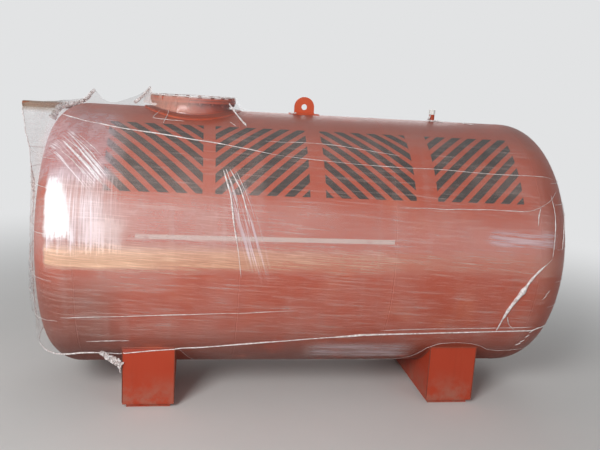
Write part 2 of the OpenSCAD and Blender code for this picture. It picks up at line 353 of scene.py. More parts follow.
# Geometry trees: each is run once over a small mesh, and its result kept as a plain mesh
def newTree(name, inputs):
    tree = bpy.data.node_groups.new(name, "GeometryNodeTree")
    tree.interface.new_socket("Geometry", in_out="OUTPUT", socket_type="NodeSocketGeometry")
    tree.interface.new_socket("Geometry", in_out="INPUT", socket_type="NodeSocketGeometry")
    for label, kind in {**inputs, "Material": "Material"}.items():
        tree.interface.new_socket(label, in_out="INPUT", socket_type="NodeSocket" + kind)
    book = Book(tree)
    return tree, book, book.add("NodeGroupInput")


def endTree(book, geometry, material):
    solid = book.add("GeometryNodeRealizeInstances", None, {0: geometry})
    dressed = book.add("GeometryNodeSetMaterial", None, {"Geometry": solid, "Material": material})
    book.add("NodeGroupOutput", None, {0: dressed})


def runTree(name, tree, mesh, values):
    carrier = bpy.data.objects.new(name, mesh)
    bpy.context.scene.collection.objects.link(carrier)
    modifier = carrier.modifiers.new("grow", "NODES")
    modifier.node_group = tree
    for item in tree.interface.items_tree:
        if item.in_out == "INPUT" and item.name in values:
            modifier[item.identifier] = values[item.name]
    bpy.context.view_layer.update()
    grown = bpy.data.meshes.new_from_object(carrier.evaluated_get(bpy.context.evaluated_depsgraph_get()))
    carrier.modifiers.remove(modifier)
    carrier.data = grown
    grown.name = name
    bpy.data.meshes.remove(mesh)
    print(name, len(grown.polygons), "faces")
    return carrier


def attach(piece, replaced=()):
    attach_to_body(piece, body)
    if replaced:
        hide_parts(*replaced)
    return piece


# A bead or roll that follows paths; "thick" on the path's points is its radius
def sweepTree():
    tree, book, start = newTree("sweptBead", {"Sides": "Int", "Unevenness": "Float", "Grain": "Float"})
    thick = book.add("GeometryNodeInputNamedAttribute", {"data_type": "FLOAT"}, {"Name": "thick"})
    line = book.add("GeometryNodeMeshToCurve", None, {"Mesh": start.out("Geometry")})
    ring = book.add("GeometryNodeCurvePrimitiveCircle", None,
                    {"Resolution": start.out("Sides"), "Radius": 1.0})
    bead = book.add("GeometryNodeCurveToMesh", None,
                    {"Curve": line, "Profile Curve": ring, "Scale": thick, "Fill Caps": True})
    spot = book.add("GeometryNodeInputPosition")
    grain = book.noise(spot, start.out("Grain"), 3.0, 0.6)
    outward = book.add("GeometryNodeInputNormal")
    size = (grain - 0.5) * start.out("Unevenness") * thick
    push = book.add("ShaderNodeVectorMath", {"operation": "SCALE"}, {0: outward, "Scale": size})
    bead = book.add("GeometryNodeSetPosition", None, {"Geometry": bead, "Offset": push})
    bead = book.add("GeometryNodeSetShadeSmooth", None, {"Geometry": bead})
    endTree(book, bead, start.out("Material"))
    return tree


beadTree = sweepTree()


def pathMesh(name, paths):  # paths: (points, radii, closed)
    points, edges, thick = [], [], []
    for line, radii, closed in paths:
        first = len(points)
        points += [tuple(p) for p in line]
        thick += list(radii) if hasattr(radii, "__len__") else [radii] * len(line)
        edges += [(first + k, first + k + 1) for k in range(len(line) - 1)]
        if closed:
            edges.append((first + len(line) - 1, first))
    mesh = bpy.data.meshes.new(name)
    mesh.from_pydata(points, edges, [])
    attribute = mesh.attributes.new("thick", "FLOAT", "POINT")
    attribute.data.foreach_set("value", np.array(thick, np.float32))
    return mesh


# Bolts of the manway: head and washer above the cover, nut and thread end below the flange
manwayBolts = {
    "count": 20,
    "circle": 0.2925,
    "seed": 4,
    "mostTurn": 1.047,  # each is turned by up to a sixth of a turn
}
boltLengths = {
    "Head width": 0.0277,  # over the corners
    "Head height": 0.007,
    "Washer": 0.030,
    "Washer height": 0.002,
    "Nut height": 0.013,
    "Shank": 0.016,
    "Grip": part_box("manway_cover")[1].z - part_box("manway_flange")[0].z,
    "Past": 0.006,  # how far the shank stands out below the nut
}


def boltTree():
    tree, book, start = newTree("flangeBolts", {**dict.fromkeys(boltLengths, "Float"), "Seed": "Int"})

    def drum(sides, wide, tall, middle):
        mesh = book.add("GeometryNodeMeshCylinder", None,
                        {"Vertices": sides, "Radius": start.out(wide) * 0.5, "Depth": tall})
        lift = book.vector(0.0, 0.0, middle)
        return book.add("GeometryNodeTransform", None, {"Geometry": mesh, "Translation": lift})

    washerTall, headTall = start.out("Washer height"), start.out("Head height")
    nutTall, grip = start.out("Nut height"), start.out("Grip")
    below = grip + washerTall + nutTall + start.out("Past")
    parts = [
        drum(24, "Washer", washerTall, washerTall * 0.5),
        drum(6, "Head width", headTall, washerTall + headTall * 0.5),
        drum(24, "Washer", washerTall, 0.0 - grip - washerTall * 0.5),
        drum(6, "Head width", nutTall, 0.0 - grip - washerTall - nutTall * 0.5),
        drum(16, "Shank", below, below * -0.5),
    ]
    whole = book.add("GeometryNodeJoinGeometry")
    for part in parts:
        book.tree.links.new(part.socket, whole.socket.node.inputs[0])
    turn = book.add("FunctionNodeRandomValue", {"data_type": "FLOAT"},
                    {2: 0.0, 3: manwayBolts["mostTurn"], "Seed": start.out("Seed")}, out=1)
    spin = book.vector(0.0, 0.0, turn)
    ring = book.add("GeometryNodeInstanceOnPoints", None,
                    {"Points": start.out("Geometry"), "Instance": whole, "Rotation": spin})
    endTree(book, ring, start.out("Material"))
    return tree


def addBolts():
    middle = Vector((tank["manwayX"], 0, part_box("manway_cover")[1].z))
    spots = []
    for k in range(manwayBolts["count"]):
        turn = 2 * math.pi * (k + 0.5) / manwayBolts["count"]
        spots.append(middle + Vector((math.cos(turn), math.sin(turn), 0)) * manwayBolts["circle"])
    mesh = bpy.data.meshes.new("boltSpots")
    mesh.from_pydata(spots, [], [])
    bolts = runTree("manway_bolts", boltTree(), mesh,
                    {**boltLengths, "Seed": manwayBolts["seed"], "Material": boltPaint})
    return attach(bolts)


addBolts()
print("bolts placed")


# Weld seams: round the shell, along each course, round neck, pads and vent, and along the saddles
welds = {
    "bead": 0.0045,
    "proud": 0.0016,  # how far a bead stands out
    "fillet": 0.0065,
    "small": 0.0055,
    "corner": 0.0035,
    "foot": 0.004,  # where a corner's weld starts above the base
    "plate": 0.006,
    "step": 0.010,
    "out": 0.001,  # off a wall that a fillet runs along
    "clear": 0.002,  # the same round the manway
    "seamDegrees": (128, 152, 135),  # one seam along each course, on the back
    "seamEnds": 0.01,
    "unevenness": 0.5,
    "points": {"seam": 90, "neck": 190, "pad": 240, "flange": 170, "vent": 40, "saddleAlong": 36,
               "saddleAcross": 150, "corner": 40, "lugAcross": 14, "lugAlong": 30, "lugPlate": 24},
}


def fullTurn(count):
    return np.linspace(0, 2 * math.pi, count, endpoint=False)


def onShell(x, y, up=1, over=0.0):  # on the upper half, or with -1 on the lower half
    return (x, y, tank["axis"] + up * (math.sqrt(tank["radius"] ** 2 - y ** 2) + over))


def ringPath(along, reach):
    turns = fullTurn(int(2 * math.pi * tank["radius"] / welds["step"]))
    return [(along, -reach * math.cos(t), tank["axis"] + reach * math.sin(t)) for t in turns]


def collarPath(centreX, radius, skin, count):  # where an upright round wall meets a skin round the axis
    return [(centreX + radius * math.cos(t), radius * math.sin(t),
             tank["axis"] + math.sqrt(skin ** 2 - (radius * math.sin(t)) ** 2)) for t in fullTurn(count)]


def addWelds():
    paths = []
    radius, bead, fillet, small = tank["radius"], welds["bead"], welds["fillet"], welds["small"]
    out, clear, manwayX, counts = welds["out"], welds["clear"], tank["manwayX"], welds["points"]
    reach = radius - bead + welds["proud"]
    courses = ("shell_course_left", "shell_course_middle", "shell_course_right")
    joints = [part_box(name)[0].x for name in courses]
    joints.append(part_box("shell_course_right")[1].x)
    for along in joints:
        paths.append((ringPath(along, reach), bead, True))
    for k, degrees in enumerate(welds["seamDegrees"]):
        turn = math.radians(degrees)
        ends = welds["seamEnds"]
        steps = np.linspace(joints[k] + ends, joints[k + 1] - ends, counts["seam"])
        seam = [(x, -reach * math.cos(turn), tank["axis"] + reach * math.sin(turn)) for x in steps]
        paths.append((seam, bead, False))

    padLow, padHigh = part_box("manway_pad")
    neckLow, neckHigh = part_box("manway_neck")
    neckRadius = (neckHigh.x - neckLow.x) / 2
    padRadius = (padHigh.x - padLow.x) / 2
    padTop = radius + padHigh.z - tank["crown"]
    paths.append((collarPath(manwayX, neckRadius + clear, padTop, counts["neck"]), fillet, True))
    paths.append((collarPath(manwayX, padRadius + clear, radius + out, counts["pad"]), small, True))
    under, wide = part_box("manway_flange")[0].z - out, neckRadius + out
    ring = [(manwayX + wide * math.cos(t), wide * math.sin(t), under) for t in fullTurn(counts["flange"])]
    paths.append((ring, small, True))
    ventLow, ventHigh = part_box("vent_pipe")
    ventX, ventRadius = (ventLow.x + ventHigh.x) / 2, (ventHigh.x - ventLow.x) / 2
    paths.append((collarPath(ventX, ventRadius + out, radius + out, counts["vent"]), bead, True))

    for side in ("left", "right"):
        low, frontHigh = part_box(side + "_saddle_front")
        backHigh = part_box(side + "_saddle_back")[1]
        for y in (low.y, backHigh.y):
            steps = np.linspace(low.x, frontHigh.x, counts["saddleAlong"])
            paths.append(([onShell(x, y, -1) for x in steps], fillet, False))
        for x in (low.x - out, frontHigh.x + out):
            steps = np.linspace(low.y, backHigh.y, counts["saddleAcross"])
            paths.append(([onShell(x, y, -1) for y in steps], fillet, False))
        for x in (low.x, frontHigh.x):  # upright corners of the box
            for y in (low.y, backHigh.y):
                heights = np.linspace(low.z + welds["foot"], onShell(x, y, -1)[2], counts["corner"])
                paths.append(([(x, y, z) for z in heights], welds["corner"], False))
    seams = runTree("weld_seams", beadTree, pathMesh("weldPaths", paths),
                    {"Sides": 8, "Unevenness": welds["unevenness"], "Grain": 130.0, "Material": weldPaint})
    return attach(seams)


addWelds()
print("welds placed")


# The lug and its pad have their own weld, in the lug's brighter paint
def addLugWeld():
    low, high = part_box("lug_foot_pad")
    plateLow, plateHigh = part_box("lifting_lug")
    counts, out = welds["points"], welds["out"]
    across = np.linspace(low.y, high.y, counts["lugAcross"])
    lengthwise = np.linspace(low.x, high.x, counts["lugAlong"])
    edge = [(x, low.y) for x in lengthwise] + [(high.x, y) for y in across[1:]]
    edge += [(x, high.y) for x in lengthwise[-2::-1]] + [(low.x, y) for y in across[-2:0:-1]]
    around = [onShell(x, y, 1, out) for x, y in edge]
    steps = np.linspace(plateLow.x, plateHigh.x, counts["lugPlate"])
    plate = [(x, plateLow.y - out, high.z) for x in steps]
    plate += [(x, plateHigh.y + out, high.z) for x in steps[::-1]]
    paths = pathMesh("lugPaths", [(around, welds["small"], True), (plate, welds["plate"], True)])
    seam = runTree("lug_welds", beadTree, paths,
                   {"Sides": 8, "Unevenness": welds["unevenness"], "Grain": 150.0, "Material": lugPaint})
    return attach(seam)


addLugWeld()
print("lug weld placed")


# The film is one wrap round shell, heads and manway. It is worked out as heights above the steel:
# a stretched skin that can't go below what it lies on, held up along a few lines.
leftHem = ((-1.95, 0.372), (-1.55, 0.395), (-1.33, 0.386), (-1.285, 0.398), (-1.265, 0.427), (-1.09, 0.436),
           (-0.92, 0.442))
filmWrap = {
    "gap": 0.0025,  # between steel and film
    "reach": 0.75,  # how far out it is looked for what the film lies on
    "spacing": 0.0168,  # between columns of the mesh
    "kneeSpacing": 0.0090,
    "manwaySpacing": 0.0125,
    "manwayReach": 0.42,  # how far from the manway the columns are that close
    "rows": 250,
    "passes": 700,
    "overRelax": 1.86,
    "pull": 1.2,  # how hard the film draws in, in the open
    "pullManway": 14,
    "pullNear": (0.60, 0.42),  # away from the manway: where its own pull starts, and where it is full
    "pullSteep": 260,  # in front of the manway and left of it
    "pullTent": 0.4,
    "tentEnd": -1.50,  # left of this the film is a tent
    "pipeEnd": -1.62,  # and left of this it lies on the gauge pipe
    "far": 9.0,  # stands for everything that isn't near the manway or on top
    "rimSlack": (0.0066, 0.0118),  # how near to the rim a point counts as on it, along the tank and round it
    "betweenSaddles": (0.80, 0.62),  # from the middle: where the edge starts to wander, and where it is full
    "hemWander": 0.010,
    "backHemWander": 0.03,
    "merge": 0.0002,  # points nearer than this become one
    # The lower edge and the roped line, as along the tank and up: they are one at the left, and the edge
    # drops between the saddles
    "hem": (*leftHem, (-0.88, 0.420), (-0.84, 0.340), (-0.79, 0.262), (-0.72, 0.215), (-0.50, 0.200),
            (0.30, 0.205), (0.62, 0.215), (0.74, 0.250), (0.83, 0.330), (0.89, 0.445), (0.96, 0.492),
            (1.08, 0.506), (1.20, 0.496), (1.29, 0.468), (1.36, 0.425), (1.46, 0.405), (1.62, 0.425),
            (1.95, 0.460)),
    "rope": (*leftHem, (-0.749, 0.452), (-0.285, 0.512), (0.366, 0.584), (1.716, 0.634), (1.95, 0.650)),
    # The fin at the left end and the ridge on top, on the middle plane
    "leftEdge": ((-2.046, 2.030), (-2.038, 1.919), (-2.030, 1.827), (-2.001, 1.699), (-1.999, 1.575),
                 (-1.986, 1.421), (-1.984, 1.287), (-2.000, 1.150), (-2.018, 1.000), (-2.024, 0.867),
                 (-2.026, 0.633), (-2.010, 0.480), (-1.960, 0.380)),
    "ridge": ((-1.690, 2.046), (-1.622, 2.062), (-1.594, 2.085), (-1.573, 2.122), (-1.545, 2.145),
              (-1.517, 2.118), (-1.482, 2.084), (-1.454, 2.064), (-1.390, 2.067), (-1.250, 2.122),
              (-1.185, 2.160), (-1.157, 2.196)),
    "flat": (4.40, 5.60),  # sides of the sheet before it was stretched over the tank
    "lugHole": (-0.010, 0.122, 0.058),  # along the tank, and half its length and width
    "ventHole": (1.003, 0.026, 0.026),
}
saddleWalls = ("front", "back", "outer_web", "inner_web")
heldBy = ["manway_flange", "manway_cover", "manway_pad", "gauge_pipe"]
heldBy += [side + "_saddle_" + wall for side in ("left", "right") for wall in saddleWalls]


# Lengths along the tank's outline, on the middle plane: the crown of a head, its knuckle, and the rest
def outline():
    radius, knuckle, crown = tank["radius"], headShape["knuckle"], headShape["crown"]
    turn = math.asin((radius - knuckle) / (crown - knuckle))
    headWay = turn * crown + (math.pi / 2 - turn) * knuckle
    kneeOut = tank["half"] + headShape["rim"]
    return {
        "turn": turn,
        "crownWay": turn * crown,
        "headWay": headWay,
        "kneeOut": kneeOut,
        "crownOut": kneeOut - (crown - knuckle) * math.cos(turn),
        "whole": 2 * (headWay + kneeOut),
    }


shape = outline()


# A place on the outline from the left pole to the right pole: along, radius, and the way out there
def outlineAt(way):
    knuckle, crown = headShape["knuckle"], headShape["crown"]
    side = np.where(way < shape["whole"] / 2, -1.0, 1.0)
    near = np.minimum(way, shape["whole"] - way)
    onCrown = near < shape["crownWay"]
    onKnee = (near >= shape["crownWay"]) & (near < shape["headWay"])
    onEnd = (onCrown, onKnee)
    lean = np.select(onEnd, (near / crown, shape["turn"] + (near - shape["crownWay"]) / knuckle), math.pi / 2)
    ahead, outward = np.cos(lean), np.sin(lean)
    out = np.select(onEnd, (shape["crownOut"] + crown * ahead, shape["kneeOut"] + knuckle * ahead),
                    shape["whole"] / 2 - near)
    radius = np.select(onEnd, (crown * outward, tank["radius"] - knuckle + knuckle * outward), tank["radius"])
    return out * side, radius, ahead * side, outward


# The other way round: points of the middle plane as way along the outline and height above it
def wayAt(along, up):
    reach = abs(up - tank["axis"])
    knuckle, crown = headShape["knuckle"], headShape["crown"]
    out = abs(along)
    if out <= shape["kneeOut"]:
        near, height = shape["whole"] / 2 - out, reach - tank["radius"]
    else:
        lean = math.atan2(reach, out - shape["crownOut"])
        near, height = lean * crown, math.hypot(reach, out - shape["crownOut"]) - crown
        if lean > shape["turn"]:
            rise = reach - (tank["radius"] - knuckle)
            lean = math.atan2(rise, out - shape["kneeOut"])
            near = shape["crownWay"] + (lean - shape["turn"]) * knuckle
            height = math.hypot(rise, out - shape["kneeOut"]) - knuckle
    return (near if along < 0 else shape["whole"] - near), height


def filmColumns():
    fine = np.linspace(0, shape["whole"], 8000)
    along, _, _, outR = outlineAt(fine)
    gap = np.full_like(fine, filmWrap["spacing"])
    onKnee = (outR > math.sin(shape["turn"]) + 0.001) & (outR < 0.9999)
    gap[onKnee] = filmWrap["kneeSpacing"]
    fromManway = along - tank["manwayX"] + tank["middle"]
    gap[np.abs(fromManway) < filmWrap["manwayReach"]] = filmWrap["manwaySpacing"]
    count = np.concatenate(([0], np.cumsum(np.diff(fine) / gap[1:])))
    return np.interp(np.arange(0, int(count[-1]) + 1) * count[-1] / int(count[-1]), count, fine)


def hemAngle(along, radius, line="hem"):  # how far below the widest line an edge of the film runs
    places, heights = zip(*filmWrap[line])
    drop = tank["axis"] - np.interp(along, places, heights)
    return np.arcsin(np.clip(drop / np.maximum(radius, 1e-6), -1, 1))


def skinObstacles(base, out):  # how far the film is held off the shell by what it lies on
    bm = bmesh.new()
    for name in heldBy:
        bm.from_mesh(nodes[name].data)
    tree = BVHTree.FromBMesh(bm)
    bm.free()
    reach = filmWrap["reach"]
    low = np.full(base.shape[:2], filmWrap["gap"])
    for i in range(base.shape[0]):
        for j in range(base.shape[1]):
            start = base[i, j] + out[i, j] * reach
            hit = tree.ray_cast(Vector(start), Vector(-out[i, j]), reach)
            if hit[0] is not None:
                low[i, j] = max(low[i, j], reach - hit[3] + filmWrap["gap"])
    return low


# Over the manway the film lies level on the bolt heads and turns down at the flange's rim
def overManway(base, out):
    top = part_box("manway_cover")[1].z + filmWrap["gap"]
    top += boltLengths["Washer height"] + boltLengths["Head height"]
    lift = (top - base[:, :, 2]) / np.maximum(out[:, :, 2], 0.3)
    reach = base + out * lift[:, :, None]
    off = reach[:, :, :2] - (tank["manwayX"], 0)
    away = np.where(out[:, :, 2] > 0.5, np.hypot(off[:, :, 0], off[:, :, 1]), filmWrap["far"])
    alongSlack, roundSlack = filmWrap["rimSlack"]
    slack = np.maximum(alongSlack * np.abs(off[:, :, 0]), roundSlack * np.abs(off[:, :, 1]))
    slack = slack / np.maximum(away, 0.001)
    rim = np.abs(away - tank["flangeRadius"]) < slack
    onBolts = away > manwayBolts["circle"] - boltLengths["Washer"] / 2
    seat = rim | (onBolts & (away < tank["flangeRadius"]))
    return lift, seat, rim, top, away


# Heights of the stretched skin: passes over every other point in turn, like the squares of a chessboard
def relax(height, low, held, ways, angles, radius, pull, closed):
    stepWay = np.gradient(ways)[:, None]
    stepTurn = np.maximum(np.gradient(angles, axis=1) * radius[:, None], 0.0005)
    sideWay = 1 / stepWay ** 2 * np.ones_like(stepTurn)
    sideTurn = 1 / stepTurn ** 2
    total = 2 * sideWay + 2 * sideTurn
    rows = height.shape[1]
    i, j = np.indices(height.shape)
    free = ~held
    free[0] = free[-1] = False
    squares = [((i + j) % 2 == k) & free for k in (0, 1)]
    for step in range(filmWrap["passes"]):
        for mask in squares:
            wide = np.pad(height, 1, mode="edge")
            near = (wide[:-2, 1:-1] + wide[2:, 1:-1]) * sideWay
            near = near + (wide[1:-1, :-2] + wide[1:-1, 2:]) * sideTurn
            new = height + filmWrap["overRelax"] * ((near - pull) / total - height)
            height = np.where(mask, np.maximum(new, low), height)
        seam = (height[closed, 1] + height[closed, rows - 2]) / 2
        height[closed, 0] = height[closed, rows - 1] = np.where(held[closed, 0], height[closed, 0], seam)
        height[0] = height[1].mean()
        height[-1] = height[-2].mean()
    return height


# Heights along the middle plane of the film's left edge and of the ridge on top, at each column
def edgeHeights(ways, points):
    pairs = sorted(wayAt(along, up) for along, up in points)
    places, heights = zip(*pairs)
    inside = (ways >= places[0]) & (ways <= places[-1])
    return inside, np.interp(ways, places, heights)


def wander(a, b, seed, waves=7):  # smooth unevenness, about -1 to 1
    rng = np.random.default_rng(seed)
    total = np.zeros_like(a)
    for wave in range(waves):
        turn, phase, length = rng.uniform(0, 2 * math.pi), rng.uniform(0, 2 * math.pi), rng.uniform(0.6, 1.9)
        total += np.sin((a * math.cos(turn) + b * math.sin(turn)) * length + phase)
    return total / math.sqrt(waves) / 1.4


def soft(value, low, high):  # 0 up to low, 1 from high, and the other way when high is less
    part = np.clip((value - low) / (high - low), 0, 1)
    return part * part * (3 - 2 * part)


# Fold groups of the film: how high and how far apart the folds are, and between what limits they come up or
# fade, along the tank, round it in metres or as an angle, and away from the manway
leftBand = ((-1.28, -1.42), (-1.72, -1.60))
creases = {
    "leftSlants": {"height": 0.0055, "length": 0.040, "seed": 3, "along": leftBand,
                   "round": ((0.36, 0.46), (0.80, 0.68))},
    "leftUprights": {"height": 0.0040, "length": 0.036, "seed": 5, "along": leftBand,
                     "round": ((0.50, 0.42), (-0.15, 0.05))},
    "manwayCollar": {"height": 0.0050, "length": 0.21, "seed": 11, "away": ((0.335, 0.37), (0.62, 0.40))},
    "streaks": {"height": 0.0035, "length": 0.047, "seed": 17, "along": ((-0.70, -0.60), (-0.30, -0.42)),
                "round": ((0.15, 0.25), (0.82, 0.7))},
    "tent": {"height": 0.0060, "length": 0.055, "seed": 23, "along": ((-1.60, -1.75),)},
    "rightEnd": {"height": 0.0035, "length": 0.060, "seed": 29, "along": ((1.35, 1.60),)},
    "low": {"height": 0.0030, "length": 0.083, "seed": 31, "round": ((0.1, -0.1),),
            "angle": ((math.pi * 0.62, math.pi * 0.45),)},
    "endLevel": {"height": 0.0055, "length": 0.090, "seed": 37},
    "endSlant": {"height": 0.0040, "length": 0.140, "seed": 41},
}
creaseEnds = (1.72, 1.84)  # where the folds of the shell give way to those of the ends


def folds(name, across, along):  # thin ridges side by side
    height, length, seed = (creases[name][key] for key in ("height", "length", "seed"))
    wave = np.sin(across * 2 * math.pi / length + 1.6 * wander(along * 2.2, across * 4, seed))
    fade = 0.55 + 0.45 * wander(along * 3, across * 14 / max(length * 20, 1), seed + 9)
    return height * np.clip(wave, 0, 1) ** 3 * fade


def wrinkles(along, angle, radius):
    girth = angle * tank["radius"]
    fromManway, fromTop = along - tank["manwayX"] + tank["middle"], girth - math.pi / 2 * tank["radius"]
    away, bearing = np.hypot(fromManway, fromTop), np.arctan2(fromTop, fromManway)
    places = {"along": along, "round": girth, "angle": angle, "away": away}

    def group(name, across, lengthwise):
        share = 1
        for key, values in places.items():
            for limits in creases[name].get(key, ()):
                share = share * soft(values, *limits)
        return share * folds(name, across, lengthwise)

    total = group("leftSlants", (along + 1.48) * 0.72 + (girth - 0.55) * 0.70, along)
    total += group("leftUprights", along, girth)
    total += group("manwayCollar", bearing, away * 3)
    total += group("streaks", (along + 0.5) * 0.96 + (girth - 0.45) * 0.45, girth)
    shell = group("tent", np.arctan2(along + 2.3, angle - 1.9) * 0.5, girth)
    shell += group("rightEnd", girth * 0.8 + along * 0.55, along)
    shell += group("low", girth + along * 0.02, along * 0.5)
    across, up = -np.cos(angle) * radius, np.sin(angle) * radius  # the ends have theirs from front to back
    ends = group("endLevel", up + across * 0.10, across) + group("endSlant", up * 0.9 - across * 0.38, across)
    onEnd = soft(np.abs(along), *creaseEnds)
    return np.maximum(total + shell * (1 - onEnd) + ends * onEnd, 0)


def buildFilm():
    gap, middle = filmWrap["gap"], tank["middle"]
    ways = filmColumns()
    along, radius, outX, outR = outlineAt(ways)
    hem = hemAngle(along, radius)
    half = filmWrap["rows"] // 2
    part = np.linspace(0, 1, half + 1)
    between = soft(np.abs(along), *filmWrap["betweenSaddles"])
    hem = hem + filmWrap["hemWander"] * between * wander(ways * 9, ways * 0, 77)
    backHem = hem + filmWrap["backHemWander"] * between * np.sin(ways * 2.1)
    backHem = np.minimum(backHem, math.pi / 2)
    front = -hem[:, None] + (hem[:, None] + math.pi / 2) * part
    back = math.pi / 2 + (math.pi / 2 + backHem[:, None]) * part[1:]
    angles = np.hstack((front, back))

    def allRows(values):
        return np.repeat(values[:, None], angles.shape[1], 1)

    alongAll = allRows(along)
    base = np.stack((allRows(along + middle), -np.cos(angles) * radius[:, None],
                     tank["axis"] + np.sin(angles) * radius[:, None]), axis=2)
    out = np.stack((allRows(outX), -np.cos(angles) * outR[:, None], np.sin(angles) * outR[:, None]), axis=2)
    low = skinObstacles(base, out)
    overRim, seat, rim, rimTop, outside = overManway(base, out)
    low[seat] = np.maximum(low[seat], overRim[seat])
    print("film: obstacles found")

    closed = np.flatnonzero(hem > math.pi / 2 - 1e-6)  # columns that go all the way round
    closed = closed[(closed > 0) & (closed < len(ways) - 1)]
    held = rim.copy()
    height = low.copy()
    upper = [p for p in filmWrap["leftEdge"] if p[1] > tank["axis"]]
    lower = [p for p in filmWrap["leftEdge"] if p[1] < tank["axis"]]
    pole = (wayAt(*upper[-1])[1] + wayAt(*lower[0])[1]) / 2
    for rows, points in (((half,), upper), ((half,), filmWrap["ridge"]), ((0, 2 * half), lower)):
        inside, wanted = edgeHeights(ways, points)
        for row in rows:
            held[inside, row] = True
            height[inside, row] = np.maximum(wanted[inside], low[inside, row])
    pipeRun = (along < filmWrap["pipeEnd"]) & (low[:, half] > gap + 0.001)  # the film lies on the gauge pipe
    held[pipeRun, half] = True
    height[pipeRun, half] = low[pipeRun, half]
    height[0] = pole

    offX, offY = alongAll - tank["manwayX"] + middle, (angles - math.pi / 2) * tank["radius"]
    near = soft(np.hypot(offX, offY), *filmWrap["pullNear"])
    steep = soft(offY, 0.10, -0.20) * soft(offX, 0.26, 0.02) + soft(offX, 0.0, -0.30)  # front and left of it
    pull = filmWrap["pull"] + near * (filmWrap["pullManway"] + filmWrap["pullSteep"] * np.minimum(steep, 1))
    pull = np.where(alongAll < filmWrap["tentEnd"], filmWrap["pullTent"], pull)
    height = relax(height, low, held, ways, angles, radius, pull, closed)
    print("film: stretched")

    place = base + out * (height + wrinkles(alongAll, angles, radius[:, None]))[:, :, None]
    centre = (tank["manwayX"], 0)
    off = place[rim][:, :2] - centre
    reach = (tank["flangeRadius"] + gap) / np.hypot(off[:, 0], off[:, 1])
    place[rim, :2] = off * reach[:, None] + centre
    off = place[:, :, :2] - centre  # below the rim it hangs outside the flange
    reach = (tank["flangeRadius"] + 2 * gap) / np.maximum(np.hypot(off[:, :, 0], off[:, :, 1]), 0.001)
    under = (outside < filmWrap["far"]) & (outside > tank["flangeRadius"]) & ~rim & (reach > 1)
    place[under, :2] = off[under] * reach[under][:, None] + centre
    return {"ways": ways, "angles": angles, "place": place, "lift": height - gap, "hem": hem, "out": out,
            "rimTop": rimTop}


film = buildFilm()


def punch(faces, along, across, holes):  # cuts holes, and gives the points that move to their edges
    keep = np.ones(len(faces), bool)
    moves = {}
    for centre, longHalf, wideHalf in holes:
        ring = np.hypot((along - centre) / longHalf, across / wideHalf)
        gone = (ring[faces] < 1).any(axis=1)
        keep &= ~gone
        for v in np.unique(faces[gone]):
            if ring[v] >= 1:
                moves[int(v)] = (centre, 1 / ring[v])
    return faces[keep], moves


def filmMesh():
    place = film["place"]
    columns, rows = place.shape[:2]
    number = np.arange(columns * rows).reshape(columns, rows)
    corners = (number[:-1, :-1], number[1:, :-1], number[1:, 1:], number[:-1, 1:])
    faces = np.stack(corners, axis=2).reshape(-1, 4)
    points = place.reshape(-1, 3).copy()
    top = points[:, 2] > tank["axis"] + 0.5
    across = np.where(top, points[:, 1], filmWrap["far"])
    holes = (filmWrap["lugHole"], filmWrap["ventHole"])
    faces, moves = punch(faces, points[:, 0] - tank["middle"], across, holes)
    for v, (centre, scale) in moves.items():
        middle = centre + tank["middle"]
        points[v, 0] = middle + (points[v, 0] - middle) * scale
        points[v, 1] *= scale
    mesh = bpy.data.meshes.new("film_membrane")
    mesh.from_pydata(points.tolist(), [], faces.tolist())
    lift = mesh.attributes.new("lift", "FLOAT", "POINT")
    lift.data.foreach_set("value", film["lift"].reshape(-1).astype(np.float32))
    bm = bmesh.new()
    bm.from_mesh(mesh)
    bmesh.ops.remove_doubles(bm, verts=bm.verts, dist=filmWrap["merge"])
    bmesh.ops.dissolve_degenerate(bm, edges=bm.edges, dist=filmWrap["merge"] / 2)
    bmesh.ops.delete(bm, geom=[v for v in bm.verts if not v.link_faces], context="VERTS")
    area = sum(face.calc_area() for face in bm.faces)
    bm.to_mesh(mesh)
    bm.free()
    for face in mesh.polygons:
        face.use_smooth = True
    print("film area", round(area, 2), "faces", len(mesh.polygons))
    return mesh


# Where the photo shows the film milky; some of these places are painted light: a painted glare, painted
# reflection streaks beside it and a painted sheen band. The place along the tank and round it, each as where
# it starts and where it is full, or as from, to and softness, and how milky it is
milk = {
    "glare": {"along": (-1.495, -1.565), "round": (0.17, 0.53, 0.035), "amount": 0.9},
    "glareTail": {"along": (-1.22, -1.46), "round": (0.11, 0.60, 0.05), "amount": 1.0},
    "lilac": {"along": (-1.22, -1.42), "round": (0.45, 0.65)},
    "slants": {"along": (-0.85, -0.655, 0.02), "round": (-1.74, -1.32, 0.05), "amount": 0.55},
    "sheenBand": {"along": (1.3, -0.9), "round": (-0.03, 0.11, 0.04)},
    "sheenBandLow": {"along": (-1.42, -0.95, 0.16), "round": (-0.17, -0.01, 0.05), "amount": 0.14},
    "bundle": {"along": (-0.455, -0.335, 0.03), "round": (-0.02, 0.60, 0.12), "amount": 0.42},
    "patch": {"along": (1.17, 1.66, 0.05), "round": (0.16, 0.275, 0.02), "amount": 0.26},
    "lowGlow": {"along": (-1.52, -1.29, 0.05), "round": (0.10, 0.26, 0.04), "amount": 0.30},
    "belly": {"along": (0.02, 0.74, 0.10), "round": (-0.90, -0.66, 0.04), "amount": 0.52},
    "gaugePipe": {"along": (-1.74, -1.80), "up": (1.96, 2.0), "amount": 0.30},
    # partly painted glare: the film round the manway's neck is milky, and whiter on its left half
    "manwayWallGlare": {"away": (0.30, 0.36, 0.01), "left": (0.16, -0.10), "lift": (0.012, 0.03), "amount": 0.36},
    "leftEdge": (-1.742, -1.715),
    "flatEnds": (1.76, 1.86),
    "middleRound": (0.06, 0.42, 0.09),
    "base": 0.030,
    "lessMilkShadeShare": 0.65,  # how much of the haze is taken off on top, at the right end and low down, which leaves these darker: painted shade
}


